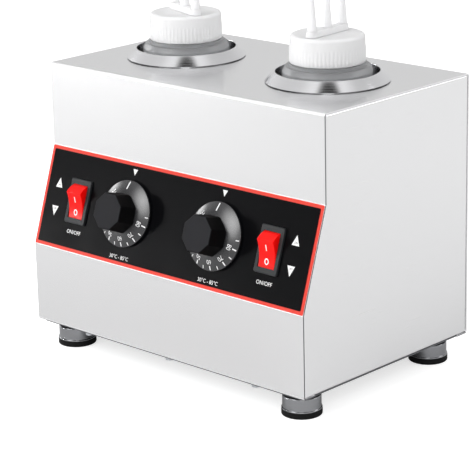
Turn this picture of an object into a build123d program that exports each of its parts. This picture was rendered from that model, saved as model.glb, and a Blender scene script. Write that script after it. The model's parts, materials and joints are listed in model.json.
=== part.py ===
from build123d import *
import os
from math import atan2, cos, degrees, hypot, radians, sin

# Countertop warmer for two squeeze bottles of dessert topping.
# Millimetres, +Z up, the controls face -Y. The origin is on the counter, under the
# middle of the case. The case is a folded wrap (front, control slope, top and back)
# closed by two side trays and a base plate. Two spun wells hang in the top sheet, each
# with a band heater, a capillary thermostat, a rocker switch and a capped bottle.

# ---- Case ----
case_width = 280.0         # over the side trays
upper_depth = 163.0        # of the top sheet
nose = 25.0                # the foot of the front stands this far ahead of its head
case_height = 203.0        # from the case's lower edge to the top sheet
lower_kink = 63.0          # foot of the control slope above the case's lower edge
upper_kink = 138.0         # head of the control slope above the case's lower edge
sheet = 1.0
fold = 2.0                 # outer radius of the wrap's folds
seam = 0.2                 # gap between nested sheets
wrap_flange = 12.0         # return flanges under the front and the back
tray_flange = 10.0
tray_fold = 1.5
base_inset = 2.5           # the base plate's edge, in from the wrap's faces
foot_height = 20.0         # from the counter to the case's lower edge

# ---- Control overlay on the slope ----
overlay_margin = 0.4
overlay_corner = 1.0
backing_thickness = 0.3
film_thickness = 0.25
border = 2.6               # of the red backing that shows round the film
hole_gap = 0.3             # round whatever passes through the overlay and the sheet

# ---- Knobs and thermostats ----
knob_offset = 53.0         # of each knob, inwards from the switch beside it
skirt_radius = 25.5
skirt_edge = 1.8           # thickness of the skirt's rim
skirt_rise = 4.2           # of the conical skirt, from its rim to the grip's foot
skirt_wall = 1.6
knob_gap = 0.8             # between the overlay and the skirt
knob_height = 21.0
grip_foot_radius = 16.1    # to the corners of the eight-sided grip
grip_face_radius = 14.7
grip_sides = 8
grip_wall = 2.2
grip_chamfer = 0.5
hub_radius = 5.6
spindle_radius = 3.0
spindle_flat = 0.7         # depth of the D flat
spindle_reach = 15.0       # of the spindle beyond the overlay
spindle_root = 10.0        # of the spindle inside the thermostat
spindle_fit = 0.05         # running fit in the thermostat's bush
bush_radius = 5.0
thermostat_width = 36.0
thermostat_depth = 20.0
thermostat_corner = 3.0
cup_radius = 12.0          # of the cup on the back that the capillary leaves
cup_depth = 3.0
bracket_width = 42.0
bracket_height = 30.0
bracket_thickness = 1.5
bracket_corner = 2.0
screw_spacing = 28.0       # of the two screws that hold each thermostat
screw_radius = 1.9
screw_hole_radius = 2.1
screw_head_radius = 3.4
screw_head_height = 1.1
screw_head_draft = 12.0    # degrees
screw_length = 5.0

# ---- Rocker switches ----
switch_inset = 40.5        # of each switch's middle, in from the side
bezel_side = 1.35          # of the bezel beyond the switch's body
bezel_end = 1.45
bezel_thickness = 2.0
bezel_corner = 1.5
switch_body_width = 19.0
switch_body_height = 31.8
switch_body_depth = 22.0
switch_side_wall = 1.5     # beside the rocker
switch_end_wall = 1.0      # beyond the rocker's ends
rocker_corner_angle = 45.8  # of the face's two edges above the pivot, at mid swing
rocker_swing = 40.0        # between off and on
rocker_hollow = 1.6        # depth of the dished face
rocker_root = 2.6          # of the rocker behind its pivot
rocker_gap = 0.3
pivot_depth = 5.0          # behind the overlay
pivot_radius = 2.0
pivot_length = 1.2
pivot_fit = 0.06
pocket_floor = 9.0         # behind the pivot
blade_width = 6.3
blade_thickness = 0.8
blade_length = 8.0

# ---- Wells ----
well_inset = 67.5          # of each well's axis, in from the side
well_radius = 38.5         # the bore that the bottle stands in
well_wall = 0.8
well_rise = 14.0           # of the well's floor above the case's lower edge
well_floor_radius = 6.0
lip_height = 7.8           # of the collar above the top sheet
lip_width = 1.4
collar_width = 7.8         # of the collar beyond the bore, where it meets the top sheet
collar_gap = 0.05          # under the collar's edge
well_hole_gap = 1.2        # round the well in the top sheet
stud_radius = 4.0
stud_length = 13.0
stud_hole_gap = 0.3
nut_height = 5.0
nut_flats = 13.0

# ---- Heaters ----
heater_bottom = 14.0       # above the well's floor
heater_height = 62.0
heater_thickness = 2.4
heater_slot = 9.0          # between the band's ears
ear_length = 9.0
ear_thickness = 1.6
clamp_bolt_radius = 1.8
clamp_bolt_inset = 11.0    # from the band's ends
clamp_bolt_length = 22.0
clamp_head_flats = 7.0
clamp_head_height = 2.9
lagging_thickness = 6.0
lagging_slot = 30.0
bulb_radius = 3.0
bulb_length = 62.0
bulb_rise = 14.0           # of the bulb's foot above the heater
capillary_radius = 0.8
capillary_lead = 8.0       # straight stretch behind the thermostat
capillary_bend = 4.0
clip_height = 8.0
clip_thickness = 0.8
cutout_radius = 7.5
cutout_height = 9.0
cutout_rise = 30.0         # above the heater

# ---- Rail under the wells ----
rail_inset = 24.0          # of the rail's ends, in from the sides
rail_top_width = 34.0
rail_foot = 9.0
rail_thickness = 1.5

# ---- Bottles ----
bottle_radius = 33.3
bottle_wall = 1.3
bottle_gap = 0.3           # under the bottle, on the well's floor
bottle_foot_radius = 4.0
shoulder_drop = 0.1        # of the bottle's shoulder under the top of the collar
shoulder_height = 4.0
bead_inset = 4.3           # of the bead under the cap, in from the bottle's wall
bead_height = 2.2
bead_round = 0.3
neck_inset = 7.4
cap_rib = 0.4
cap_ribs = 60
cap_rib_share = 0.6        # of the skirt's height that is ribbed
cap_gap = 0.6              # between the bead and the cap's skirt, and round the neck
cap_height = 20.5          # to the flat top
cap_round = 2.5
cap_wall = 1.4
cap_top = 1.5
seal_thickness = 1.5
seal_width = 5.0
seal_gap = 0.3
nozzle_spacing = 18.0
nozzle_foot_radius = 3.6
nozzle_tip_radius = 1.2
nozzle_bore_radius = 0.8
nozzle_length = 31.5
nozzle_base_height = 4.5
nozzle_base_radius = 4.6
nozzle_base_draft = 8.0    # degrees
cap_turns = {"left": -19.0, "right": -87.0}   # where each cap's row of nozzles points

# ---- Feet ----
foot_inset = 21.0          # of each foot's axis, in from the case's faces
washer_radius = 14.0
washer_height = 3.4
foot_shell_radius = 14.2
foot_lip_width = 0.7       # of the turned-out lip beyond the shell
foot_lip_round = 0.3
foot_shell_height = 10.8
foot_shell_wall = 1.2
foot_gap = 0.3             # between the washer and the shell
pad_overhang = 0.1         # of the pad beyond the lip
pad_edge = 0.8             # rounding of the pad's lower edge
pad_corner = 0.4           # rounding of its step under the shell
foot_stud_radius = 3.9
foot_stud_gap = 0.1
foot_stud_reach = 14.0     # above the base plate
foot_nut_height = 6.5

# ---- Wiring and cord entry ----
gland_z = 26.0             # above the case's lower edge
gland_radius = 7.6
gland_bore_radius = 4.2
gland_flats = 19.0
gland_flange = 4.0
gland_nose = 10.0
gland_dome_radius = 8.8
gland_reach = 9.0          # inside the back
locknut_height = 4.0
block_width = 40.0
block_depth = 16.0
block_height = 17.0
block_step = 10.0          # height of the block between its poles
pole_width = 8.0
pole_depth = 11.0
block_poles = 4
block_inset = 22.0         # of the block's middle, in from the back
earth_x = 45.0
earth_radius = 2.5
earth_length = 12.0
earth_nut_flats = 8.0
earth_nut_height = 4.0
base_screw_inset = 52.0    # of the outer screws, in from the sides
vent_length = 24.0
vent_width = 4.0
vent_pitch = 9.0
vent_count = 5
vent_spacing = 112.0       # between the two rows of slots under each well

# ---- Frame ----
os.makedirs("parts", exist_ok=True)
sides = {"left": -1, "right": 1}
case_depth = upper_depth + nose
case_bottom = foot_height
case_top = case_bottom + case_height
nose_y = -case_depth / 2
front_y = nose_y + nose
back_y = case_depth / 2
well_y = (front_y + back_y) / 2
kink_rise = upper_kink - lower_kink
slope_length = hypot(nose, kink_rise)
slope_middle = Vector(0, (nose_y + front_y) / 2, case_bottom + (lower_kink + upper_kink) / 2)
slope = Plane(origin=slope_middle, x_dir=(1, 0, 0), z_dir=(0, -kink_rise, nose))
out_of_slope = Axis(slope_middle, slope.z_dir)
overlay = backing_thickness + film_thickness
well_x = case_width / 2 - well_inset
well_floor = case_bottom + well_rise
well_outer = well_radius + well_wall
lip_top = case_top + lip_height
plate_bottom = case_bottom - sheet


def keep(piece, name):
    """Label a finished piece and write it as a STEP file of the same name."""
    piece.part.label = name
    export_step(piece.part, f"parts/{name}.step")


def profile_at(x, y):
    """Upright plane through a vertical axis: local x is the radius, local y is z."""
    return Plane(origin=(x, y, 0), x_dir=(1, 0, 0), z_dir=(0, -1, 0))


def axis_at(x, y):
    return Axis((x, y, 0), (0, 0, 1))


def on_slope(u, v=0.0, height=0.0):
    """Plane parallel to the slope at u across it, v up it and height out of it."""
    return Plane(origin=slope.from_local_coords((u, v, height)), x_dir=slope.x_dir, z_dir=slope.z_dir)


def beside_slope(u, height):
    """Plane across the slope: local x runs up the slope and local y out of it."""
    return Plane(origin=slope.from_local_coords((u, 0, height)), x_dir=slope.y_dir, z_dir=(1, 0, 0))


# ---- Wrap and side trays ----
with BuildSketch(Plane.YZ) as case_section:
    with BuildLine():
        Polyline(
            (nose_y, case_bottom), (nose_y, case_bottom + lower_kink),
            (front_y, case_bottom + upper_kink), (front_y, case_top),
            (back_y, case_top), (back_y, case_bottom), close=True,
        )
    make_face()
    fillet(case_section.vertices(), fold)

switch_x = case_width / 2 - switch_inset
knob_x = switch_x - knob_offset
knob_places = [(knob_x * way, 0) for way in sides.values()]
switch_places = [(switch_x * way, 0) for way in sides.values()]
screw_places = [(knob_x * way + screw_spacing / 2 * end, 0) for way in sides.values() for end in (-1, 1)]
well_places = [(well_x * way, well_y) for way in sides.values()]
foot_x = case_width / 2 - foot_inset
foot_y = case_depth / 2 - foot_inset
foot_places = [(foot_x * way, foot_y * end) for way in (-1, 1) for end in (-1, 1)]
flange_y = case_depth / 2 - wrap_flange / 2
base_screw_x = case_width / 2 - base_screw_inset
base_screw_places = [(base_screw_x * i, flange_y * end) for i in (-1, 0, 1) for end in (-1, 1)]

with BuildPart() as wrap_shell:
    with BuildSketch(Plane.YZ.offset(-case_width / 2)):
        add(case_section.sketch_local)
        offset(case_section.sketch_local, amount=-sheet, mode=Mode.SUBTRACT)
        with Locations((0, case_bottom)):
            Rectangle(case_depth - 2 * wrap_flange, 4 * sheet, mode=Mode.SUBTRACT)
    extrude(amount=case_width)
    with BuildSketch(Plane.XY.offset(case_top)):
        with Locations(*well_places):
            Circle(well_outer + well_hole_gap)
    extrude(amount=-2 * sheet, mode=Mode.SUBTRACT)
    with BuildSketch(slope):
        with Locations(*knob_places):
            Circle(bush_radius + hole_gap)
        with Locations(*screw_places):
            Circle(screw_hole_radius)
        with Locations(*switch_places):
            Rectangle(switch_body_width + 2 * hole_gap, switch_body_height + 2 * hole_gap)
    extrude(amount=-2 * sheet, mode=Mode.SUBTRACT)
    with BuildSketch(Plane.XZ.offset(-back_y)):
        with Locations((0, case_bottom + gland_z)):
            Circle(gland_radius + hole_gap)
    extrude(amount=2 * sheet, mode=Mode.SUBTRACT)
    with BuildSketch(Plane.XY.offset(case_bottom)):
        with Locations(*base_screw_places):
            Circle(screw_radius)
    extrude(amount=2 * sheet, mode=Mode.SUBTRACT)
keep(wrap_shell, "wrap_shell")

for side, way in sides.items():
    with BuildPart() as side_tray:
        with BuildSketch(Plane.YZ.offset(way * case_width / 2)):
            offset(case_section.sketch_local, amount=-sheet - seam)
        extrude(amount=-way * tray_flange)
        fillet(side_tray.faces().sort_by(Axis((0, 0, 0), (way, 0, 0)))[-1].edges(), tray_fold)
        with BuildSketch(Plane.YZ.offset(way * (case_width / 2 - tray_flange))):
            offset(case_section.sketch_local, amount=-2 * sheet - seam)
        extrude(amount=way * (tray_flange - sheet), mode=Mode.SUBTRACT)
    keep(side_tray, f"{side}_side_tray")

with BuildPart() as base_plate:
    with BuildSketch(Plane.XY.offset(plate_bottom)):
        RectangleRounded(case_width - 2 * base_inset, case_depth - 2 * base_inset, fold + base_inset)
        with Locations(*foot_places):
            Circle(foot_stud_radius + hole_gap, mode=Mode.SUBTRACT)
        with Locations(*base_screw_places):
            Circle(screw_hole_radius, mode=Mode.SUBTRACT)
        with Locations(*well_places):
            with GridLocations(vent_pitch, vent_spacing, vent_count, 2):
                SlotOverall(vent_length, vent_width, rotation=90, mode=Mode.SUBTRACT)
    extrude(amount=sheet)
keep(base_plate, "base_plate")

with BuildPart() as base_screws:
    with BuildSketch(Plane.XY.offset(plate_bottom)):
        with Locations(*base_screw_places):
            Circle(screw_head_radius)
    extrude(amount=-screw_head_height - sheet, taper=screw_head_draft)
    with BuildSketch(Plane.XY.offset(plate_bottom)):
        with Locations(*base_screw_places):
            Circle(screw_radius)
    extrude(amount=screw_length)
keep(base_screws, "base_screws")

# ---- Control overlay ----
for name, level, thickness, inset in (
    ("control_backing", 0, backing_thickness, 0),
    ("control_film", backing_thickness, film_thickness, border),
):
    with BuildPart() as layer:
        with BuildSketch(slope.offset(level)):
            edge = overlay_margin + inset
            RectangleRounded(case_width - 2 * edge, slope_length - 2 * edge, overlay_corner)
            with Locations(*knob_places):
                Circle(bush_radius + hole_gap, mode=Mode.SUBTRACT)
            with Locations(*screw_places):
                Circle(screw_hole_radius, mode=Mode.SUBTRACT)
            with Locations(*switch_places):
                Rectangle(
                    switch_body_width + 2 * hole_gap, switch_body_height + 2 * hole_gap, mode=Mode.SUBTRACT
                )
        extrude(amount=thickness)
    keep(layer, name)

# ---- Switches ----
pivot_level = overlay - pivot_depth
bezel_width = switch_body_width + 2 * bezel_side
bezel_height = switch_body_height + 2 * bezel_end
rocker_width = switch_body_width - 2 * switch_side_wall - 2 * rocker_gap
rocker_radius = switch_body_height / 2 - switch_end_wall - rocker_gap
face_rise = rocker_radius * sin(radians(rocker_corner_angle))
face_half = rocker_radius * cos(radians(rocker_corner_angle))
dish_radius = (face_half**2 + rocker_hollow**2) / (2 * rocker_hollow)
pocket_radius = rocker_radius + rocker_gap
pocket_half = rocker_width / 2 + rocker_gap
pocket_mouth = pivot_depth + bezel_thickness + rocker_gap

for side, way in sides.items():
    u = switch_x * way
    cross = beside_slope(u, pivot_level)
    rocker_plane = Plane(cross.origin, cross.x_dir.rotate(Axis.X, rocker_swing / 2), cross.z_dir)
    with BuildPart() as switch_housing:
        with BuildSketch(on_slope(u, 0, overlay)):
            RectangleRounded(bezel_width, bezel_height, bezel_corner)
        extrude(amount=bezel_thickness)
        fillet(switch_housing.faces().sort_by(out_of_slope)[-1].edges(), bezel_thickness / 3)
        with BuildSketch(on_slope(u, 0, overlay)):
            Rectangle(switch_body_width, switch_body_height)
        extrude(amount=-switch_body_depth)
        with BuildSketch(cross):
            Circle(pocket_radius)
            with Locations((0, (pocket_mouth - pocket_floor) / 2)):
                Rectangle(2 * pocket_radius, pocket_mouth + pocket_floor, mode=Mode.INTERSECT)
        extrude(amount=pocket_half, both=True, mode=Mode.SUBTRACT)
        with BuildSketch(cross):
            Circle(pivot_radius + pivot_fit)
        extrude(amount=rocker_width / 2 + pivot_length + rocker_gap, both=True, mode=Mode.SUBTRACT)
    keep(switch_housing, f"{side}_switch_housing")

    with BuildPart() as rocker:
        with BuildSketch(rocker_plane):
            Circle(rocker_radius)
            with Locations((0, (face_rise - rocker_root) / 2)):
                Rectangle(2 * rocker_radius, face_rise + rocker_root, mode=Mode.INTERSECT)
            with Locations((0, face_rise + dish_radius - rocker_hollow)):
                Circle(dish_radius, mode=Mode.SUBTRACT)
        extrude(amount=rocker_width / 2, both=True)
        with BuildSketch(cross):
            Circle(pivot_radius)
        extrude(amount=rocker_width / 2 + pivot_length, both=True)
    keep(rocker, f"{side}_rocker")

with BuildPart() as switch_terminals:
    for way in sides.values():
        with BuildSketch(on_slope(switch_x * way, 0, overlay - switch_body_depth)):
            with GridLocations(switch_body_width / 2, switch_body_height / 2, 2, 2):
                Rectangle(blade_thickness, blade_width)
        extrude(amount=-blade_length)
keep(switch_terminals, "switch_terminals")

# ---- Thermostats, spindles and knobs ----
spindle_tip = overlay + spindle_reach
bracket_back = -sheet - bracket_thickness
cup_back = bracket_back - thermostat_depth - cup_depth
hub_top = knob_height - grip_wall

for side, way in sides.items():
    u = knob_x * way
    with BuildPart() as thermostat:
        with BuildSketch(on_slope(u, 0, -sheet)):
            RectangleRounded(bracket_width, bracket_height, bracket_corner)
        extrude(amount=-bracket_thickness)
        with BuildSketch(on_slope(u, 0, bracket_back)):
            RectangleRounded(thermostat_width, thermostat_width, thermostat_corner)
        extrude(amount=-thermostat_depth)
        with BuildSketch(on_slope(u, 0, bracket_back - thermostat_depth)):
            Circle(cup_radius)
        extrude(amount=-cup_depth)
        with BuildSketch(on_slope(u, 0, -sheet)):
            Circle(bush_radius)
        extrude(amount=sheet + overlay)
        with BuildSketch(on_slope(u, 0, overlay)):
            Circle(spindle_radius + spindle_fit)
        extrude(amount=-overlay - spindle_root - spindle_fit, mode=Mode.SUBTRACT)
        with BuildSketch(on_slope(u, 0, -sheet)):
            with Locations((-screw_spacing / 2, 0), (screw_spacing / 2, 0)):
                Circle(screw_radius)
        extrude(amount=-screw_length, mode=Mode.SUBTRACT)
    keep(thermostat, f"{side}_thermostat")

    with BuildPart() as spindle:
        with BuildSketch(on_slope(u, 0, -spindle_root)):
            Circle(spindle_radius)
        extrude(amount=spindle_root + spindle_tip)
        with BuildSketch(on_slope(u, 0, spindle_tip)):
            with Locations((0, 2 * spindle_radius - spindle_flat)):
                Rectangle(2 * spindle_radius, 2 * spindle_radius)
        extrude(amount=-spindle_reach + knob_gap, mode=Mode.SUBTRACT)
    keep(spindle, f"{side}_spindle")

    with BuildPart() as knob:
        foot = overlay + knob_gap
        with BuildSketch(on_slope(u, 0, foot)):
            Circle(skirt_radius)
        extrude(amount=skirt_edge)
        with BuildSketch(on_slope(u, 0, foot + skirt_edge)):
            Circle(skirt_radius)
        with BuildSketch(on_slope(u, 0, foot + skirt_edge + skirt_rise)):
            Circle(grip_foot_radius)
        loft()
        with BuildSketch(on_slope(u, 0, foot + skirt_edge)):
            RegularPolygon(grip_foot_radius, grip_sides, rotation=180 / grip_sides)
        with BuildSketch(on_slope(u, 0, foot + knob_height)):
            RegularPolygon(grip_face_radius, grip_sides, rotation=180 / grip_sides)
        loft()
        chamfer(knob.faces().sort_by(out_of_slope)[-1].edges(), grip_chamfer)
        with BuildSketch(on_slope(u, 0, foot)):
            Circle(skirt_radius - skirt_wall)
            Circle(hub_radius, mode=Mode.SUBTRACT)
        extrude(amount=skirt_edge, mode=Mode.SUBTRACT)
        with BuildSketch(on_slope(u, 0, foot)):
            Circle(grip_face_radius * cos(radians(180 / grip_sides)) - grip_wall)
            Circle(hub_radius, mode=Mode.SUBTRACT)
        extrude(amount=hub_top, mode=Mode.SUBTRACT)
        with BuildSketch(on_slope(u, 0, foot)):
            Circle(spindle_radius)
            with Locations((0, 2 * spindle_radius - spindle_flat)):
                Rectangle(2 * spindle_radius, 2 * spindle_radius, mode=Mode.SUBTRACT)
        extrude(amount=spindle_reach - knob_gap, mode=Mode.SUBTRACT)
    keep(knob, f"{side}_knob")

with BuildPart() as thermostat_screws:
    with BuildSketch(slope.offset(overlay)):
        with Locations(*screw_places):
            Circle(screw_head_radius)
    extrude(amount=screw_head_height, taper=screw_head_draft)
    with BuildSketch(slope.offset(overlay)):
        with Locations(*screw_places):
            Circle(screw_radius)
    extrude(amount=-overlay - screw_length)
keep(thermostat_screws, "thermostat_screws")

# ---- Wells, heaters and bottles ----
collar_radius = well_radius + collar_width
cone_run = collar_width - lip_width
collar_edge = case_top + collar_gap + well_wall * cone_run / hypot(cone_run, lip_height)
heater_low = well_floor + heater_bottom
heater_top = heater_low + heater_height
heater_outer = well_outer + heater_thickness
bolt_levels = [heater_low + clamp_bolt_inset, heater_top - clamp_bolt_inset]
ear_middle = heater_outer + ear_length / 2
lagging_outer = heater_outer + lagging_thickness
bulb_low = heater_top + bulb_rise
bulb_y = well_y - well_outer - bulb_radius
bottle_low = well_floor + bottle_gap
shoulder_low = lip_top - shoulder_drop
bead_low = shoulder_low + shoulder_height
bead_top = bead_low + bead_height
bead_radius = bottle_radius - bead_inset
neck_radius = bottle_radius - neck_inset
cap_low = bead_top + cap_gap
cap_flat = cap_low + cap_height
seal_low = cap_flat - cap_top - seal_gap - seal_thickness
neck_top = seal_low - seal_gap
cap_radius = neck_radius + cap_gap + cap_wall
nozzle_taper = degrees(atan2(nozzle_foot_radius - nozzle_tip_radius, nozzle_length))

for side, way in sides.items():
    x = well_x * way
    with BuildPart() as well:
        with BuildSketch(profile_at(x, well_y)):
            with BuildLine():
                skin = FilletPolyline(
                    (0, well_floor), (well_radius, well_floor), (well_radius, lip_top),
                    (well_radius + lip_width, lip_top), (collar_radius, collar_edge),
                    radius=[well_floor_radius, lip_width / 3, lip_width / 3],
                )
                offset(skin, amount=well_wall, side=Side.RIGHT)
            make_face()
        revolve(axis=axis_at(x, well_y))
        with BuildSketch(Plane(origin=(x, well_y, well_floor - well_wall))):
            Circle(stud_radius)
        extrude(amount=-stud_length)
    keep(well, f"{side}_well")

    with BuildPart() as heater_band:
        with BuildSketch(Plane(origin=(x, well_y, heater_low))):
            Circle(heater_outer)
            with Locations((0, (heater_outer + ear_length) / 2)):
                Rectangle(heater_slot + 2 * ear_thickness, heater_outer + ear_length)
            with Locations((0, heater_outer)):
                Rectangle(heater_slot, 4 * ear_length, mode=Mode.SUBTRACT)
            Circle(well_outer, mode=Mode.SUBTRACT)
        extrude(amount=heater_height)
        with BuildSketch(Plane((x, well_y, 0), (0, 1, 0), (1, 0, 0))):
            with Locations(*((ear_middle, level) for level in bolt_levels)):
                Circle(clamp_bolt_radius)
        extrude(amount=heater_slot, both=True, mode=Mode.SUBTRACT)
    keep(heater_band, f"{side}_heater_band")

    with BuildPart() as lagging:
        with BuildSketch(Plane(origin=(x, well_y, heater_low))):
            Circle(lagging_outer)
            Circle(heater_outer, mode=Mode.SUBTRACT)
            with Locations((0, lagging_outer)):
                Rectangle(lagging_slot, lagging_outer, mode=Mode.SUBTRACT)
        extrude(amount=heater_height)
    keep(lagging, f"{side}_lagging")

    with BuildPart() as capillary:
        start = slope.from_local_coords((knob_x * way, 0, cup_back))
        with BuildLine():
            FilletPolyline(
                start, start - slope.z_dir * capillary_lead,
                (x, bulb_y, bulb_low - bulb_rise / 2), (x, bulb_y, bulb_low + capillary_radius),
                radius=capillary_bend,
            )
        with BuildSketch(Plane(origin=start, x_dir=(1, 0, 0), z_dir=-slope.z_dir)):
            Circle(capillary_radius)
        sweep()
        with BuildSketch(Plane(origin=(x, bulb_y, bulb_low))):
            Circle(bulb_radius)
        extrude(amount=bulb_length)
    keep(capillary, f"{side}_capillary")

    with BuildPart() as bottle:
        with BuildSketch(profile_at(x, well_y)):
            with BuildLine():
                skin = FilletPolyline(
                    (0, bottle_low), (bottle_radius, bottle_low), (bottle_radius, shoulder_low),
                    (bottle_radius - shoulder_height / 2, bead_low), (bead_radius, bead_low),
                    (bead_radius, bead_top), (neck_radius, bead_top), (neck_radius, neck_top),
                    radius=[bottle_foot_radius] + [shoulder_height / 3] * 2 + [bead_round] * 3,
                )
                offset(skin, amount=bottle_wall, side=Side.LEFT)
            make_face()
        revolve(axis=axis_at(x, well_y))
    keep(bottle, f"{side}_bottle")

    with BuildPart() as cap_seal:
        with BuildSketch(Plane(origin=(x, well_y, seal_low))):
            Circle(neck_radius)
            Circle(neck_radius - seal_width, mode=Mode.SUBTRACT)
        extrude(amount=seal_thickness)
    keep(cap_seal, f"{side}_cap_seal")

    turn = cap_turns[side]
    with BuildPart() as cap:
        with BuildSketch(profile_at(x, well_y)):
            with BuildLine():
                FilletPolyline(
                    (0, cap_low), (cap_radius, cap_low),
                    (cap_radius - cap_rib / 2, cap_flat), (0, cap_flat),
                    radius=[cap_rib, cap_round],
                )
                Line((0, cap_flat), (0, cap_low))
            make_face()
        revolve(axis=axis_at(x, well_y))
        with BuildSketch(Plane(origin=(x, well_y, cap_low))):
            with PolarLocations(cap_radius, cap_ribs):
                Rectangle(2 * cap_rib, 2 * cap_rib)
        extrude(amount=cap_height * cap_rib_share)
        top = Plane(origin=(x, well_y, cap_flat), x_dir=(cos(radians(turn)), sin(radians(turn)), 0))
        with BuildSketch(top):
            SlotCenterToCenter(2 * nozzle_spacing, 2 * nozzle_base_radius)
        extrude(amount=nozzle_base_height, taper=nozzle_base_draft)
        with BuildSketch(top.offset(nozzle_base_height)):
            with GridLocations(nozzle_spacing, 0, 3, 1):
                Circle(nozzle_foot_radius)
        extrude(amount=nozzle_length, taper=nozzle_taper)
        with BuildSketch(Plane(origin=(x, well_y, cap_low))):
            Circle(cap_radius - cap_wall)
        extrude(amount=cap_height - cap_top, mode=Mode.SUBTRACT)
        with BuildSketch(top.offset(nozzle_base_height + nozzle_length)):
            with GridLocations(nozzle_spacing, 0, 3, 1):
                Circle(nozzle_bore_radius)
        extrude(amount=-nozzle_length - nozzle_base_height - cap_top, mode=Mode.SUBTRACT)
    keep(cap, f"{side}_cap")

# ---- Small pieces on the wells ----
with BuildPart() as clamp_bolts:
    for x, y in well_places:
        for z in bolt_levels:
            bolt = Plane(origin=(x, y + ear_middle, z), x_dir=(0, 1, 0), z_dir=(1, 0, 0))
            with BuildSketch(bolt):
                Circle(clamp_bolt_radius)
            extrude(amount=clamp_bolt_length / 2, both=True)
            for end in (-1, 1):
                with BuildSketch(bolt.offset(end * (heater_slot / 2 + ear_thickness))):
                    RegularPolygon(clamp_head_flats / 2, 6, major_radius=False)
                extrude(amount=end * clamp_head_height)
keep(clamp_bolts, "heater_clamp_bolts")

with BuildPart() as bulb_clips:
    for x, y in well_places:
        with BuildSketch(Plane(origin=(x, y, bulb_low + bulb_length / 2))):
            Circle(well_outer + clip_thickness)
            with Locations((0, -well_outer - bulb_radius)):
                Circle(bulb_radius + clip_thickness)
                Circle(bulb_radius, mode=Mode.SUBTRACT)
            Circle(well_outer, mode=Mode.SUBTRACT)
            with Locations((0, -well_outer)):
                Rectangle(bulb_radius, 2 * clip_thickness, mode=Mode.SUBTRACT)
            with Locations((0, well_outer)):
                Rectangle(2 * cutout_radius, well_outer, mode=Mode.SUBTRACT)
        extrude(amount=clip_height)
keep(bulb_clips, "bulb_clips")

with BuildPart() as thermal_cutouts:
    for x, y in well_places:
        on_wall = Plane((x, y + well_outer, heater_top + cutout_rise), z_dir=(0, 1, 0))
        with BuildSketch(on_wall):
            Circle(cutout_radius)
        extrude(amount=cutout_height)
        with BuildSketch(on_wall.offset(cutout_height)):
            with GridLocations(cutout_radius, 0, 2, 1):
                Rectangle(blade_thickness, blade_width)
        extrude(amount=blade_length)
keep(thermal_cutouts, "thermal_cutouts")

with BuildPart() as well_rail:
    rail_length = case_width - 2 * rail_inset
    rail_low = case_bottom + rail_thickness
    rail_top = well_floor - well_wall
    rail_side = rail_top_width / 2
    with BuildSketch(Plane(origin=(-rail_length / 2, well_y, 0), x_dir=(0, 1, 0), z_dir=(1, 0, 0))):
        with BuildLine():
            hat = FilletPolyline(
                (-rail_side - rail_foot, rail_low), (-rail_side, rail_low), (-rail_side, rail_top),
                (rail_side, rail_top), (rail_side, rail_low), (rail_side + rail_foot, rail_low),
                radius=rail_thickness,
            )
            offset(hat, amount=rail_thickness, side=Side.RIGHT)
        make_face()
    extrude(amount=rail_length)
    with BuildSketch(Plane.XY.offset(rail_top)):
        with Locations(*well_places):
            Circle(stud_radius + stud_hole_gap)
    extrude(amount=-2 * rail_thickness, mode=Mode.SUBTRACT)
keep(well_rail, "well_rail")

with BuildPart() as well_nuts:
    with BuildSketch(Plane.XY.offset(rail_top - rail_thickness)):
        with Locations(*well_places):
            RegularPolygon(nut_flats / 2, 6, major_radius=False)
            Circle(stud_radius, mode=Mode.SUBTRACT)
    extrude(amount=-nut_height)
keep(well_nuts, "well_nuts")

# ---- Feet ----
washer_low = plate_bottom - washer_height
shell_top = washer_low - foot_gap
shell_low = shell_top - foot_shell_height
foot_lip_radius = foot_shell_radius + foot_lip_width
pad_radius = foot_lip_radius + pad_overhang
plug_radius = foot_shell_radius - foot_shell_wall - foot_gap
plug_top = shell_top - foot_shell_wall
with BuildPart() as foot_washers:
    with BuildSketch(Plane.XY.offset(washer_low)):
        with Locations(*foot_places):
            Circle(washer_radius)
            Circle(foot_stud_radius + hole_gap, mode=Mode.SUBTRACT)
    extrude(amount=washer_height)
keep(foot_washers, "foot_washers")

with BuildPart() as foot_nuts:
    with BuildSketch(Plane.XY.offset(case_bottom)):
        with Locations(*foot_places):
            RegularPolygon(nut_flats / 2, 6, major_radius=False)
            Circle(foot_stud_radius + foot_stud_gap, mode=Mode.SUBTRACT)
    extrude(amount=foot_nut_height)
keep(foot_nuts, "foot_nuts")

for x, y in foot_places:
    place = f"{'left' if x < 0 else 'right'}_{'front' if y < 0 else 'rear'}"
    with BuildPart() as foot:
        with BuildSketch(profile_at(x, y)):
            with BuildLine():
                skin = FilletPolyline(
                    (0, shell_top), (foot_shell_radius, shell_top),
                    (foot_shell_radius, shell_low + foot_shell_wall),
                    (foot_lip_radius, shell_low + foot_shell_wall),
                    radius=[foot_shell_wall, foot_lip_round],
                )
                offset(skin, amount=foot_shell_wall, side=Side.RIGHT)
            make_face()
        revolve(axis=axis_at(x, y))
        with BuildSketch(Plane(origin=(x, y, shell_top))):
            Circle(foot_stud_radius)
        extrude(amount=case_bottom + foot_stud_reach - shell_top)
    keep(foot, f"{place}_foot")

    with BuildPart() as foot_pad:
        with BuildSketch(profile_at(x, y)):
            with BuildLine():
                FilletPolyline(
                    (0, 0), (pad_radius, 0), (pad_radius, shell_low), (plug_radius, shell_low),
                    (plug_radius, plug_top), (0, plug_top),
                    radius=[pad_edge, pad_corner, pad_corner, foot_shell_wall],
                )
                Line((0, plug_top), (0, 0))
            make_face()
        revolve(axis=axis_at(x, y))
    keep(foot_pad, f"{place}_foot_pad")

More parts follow.
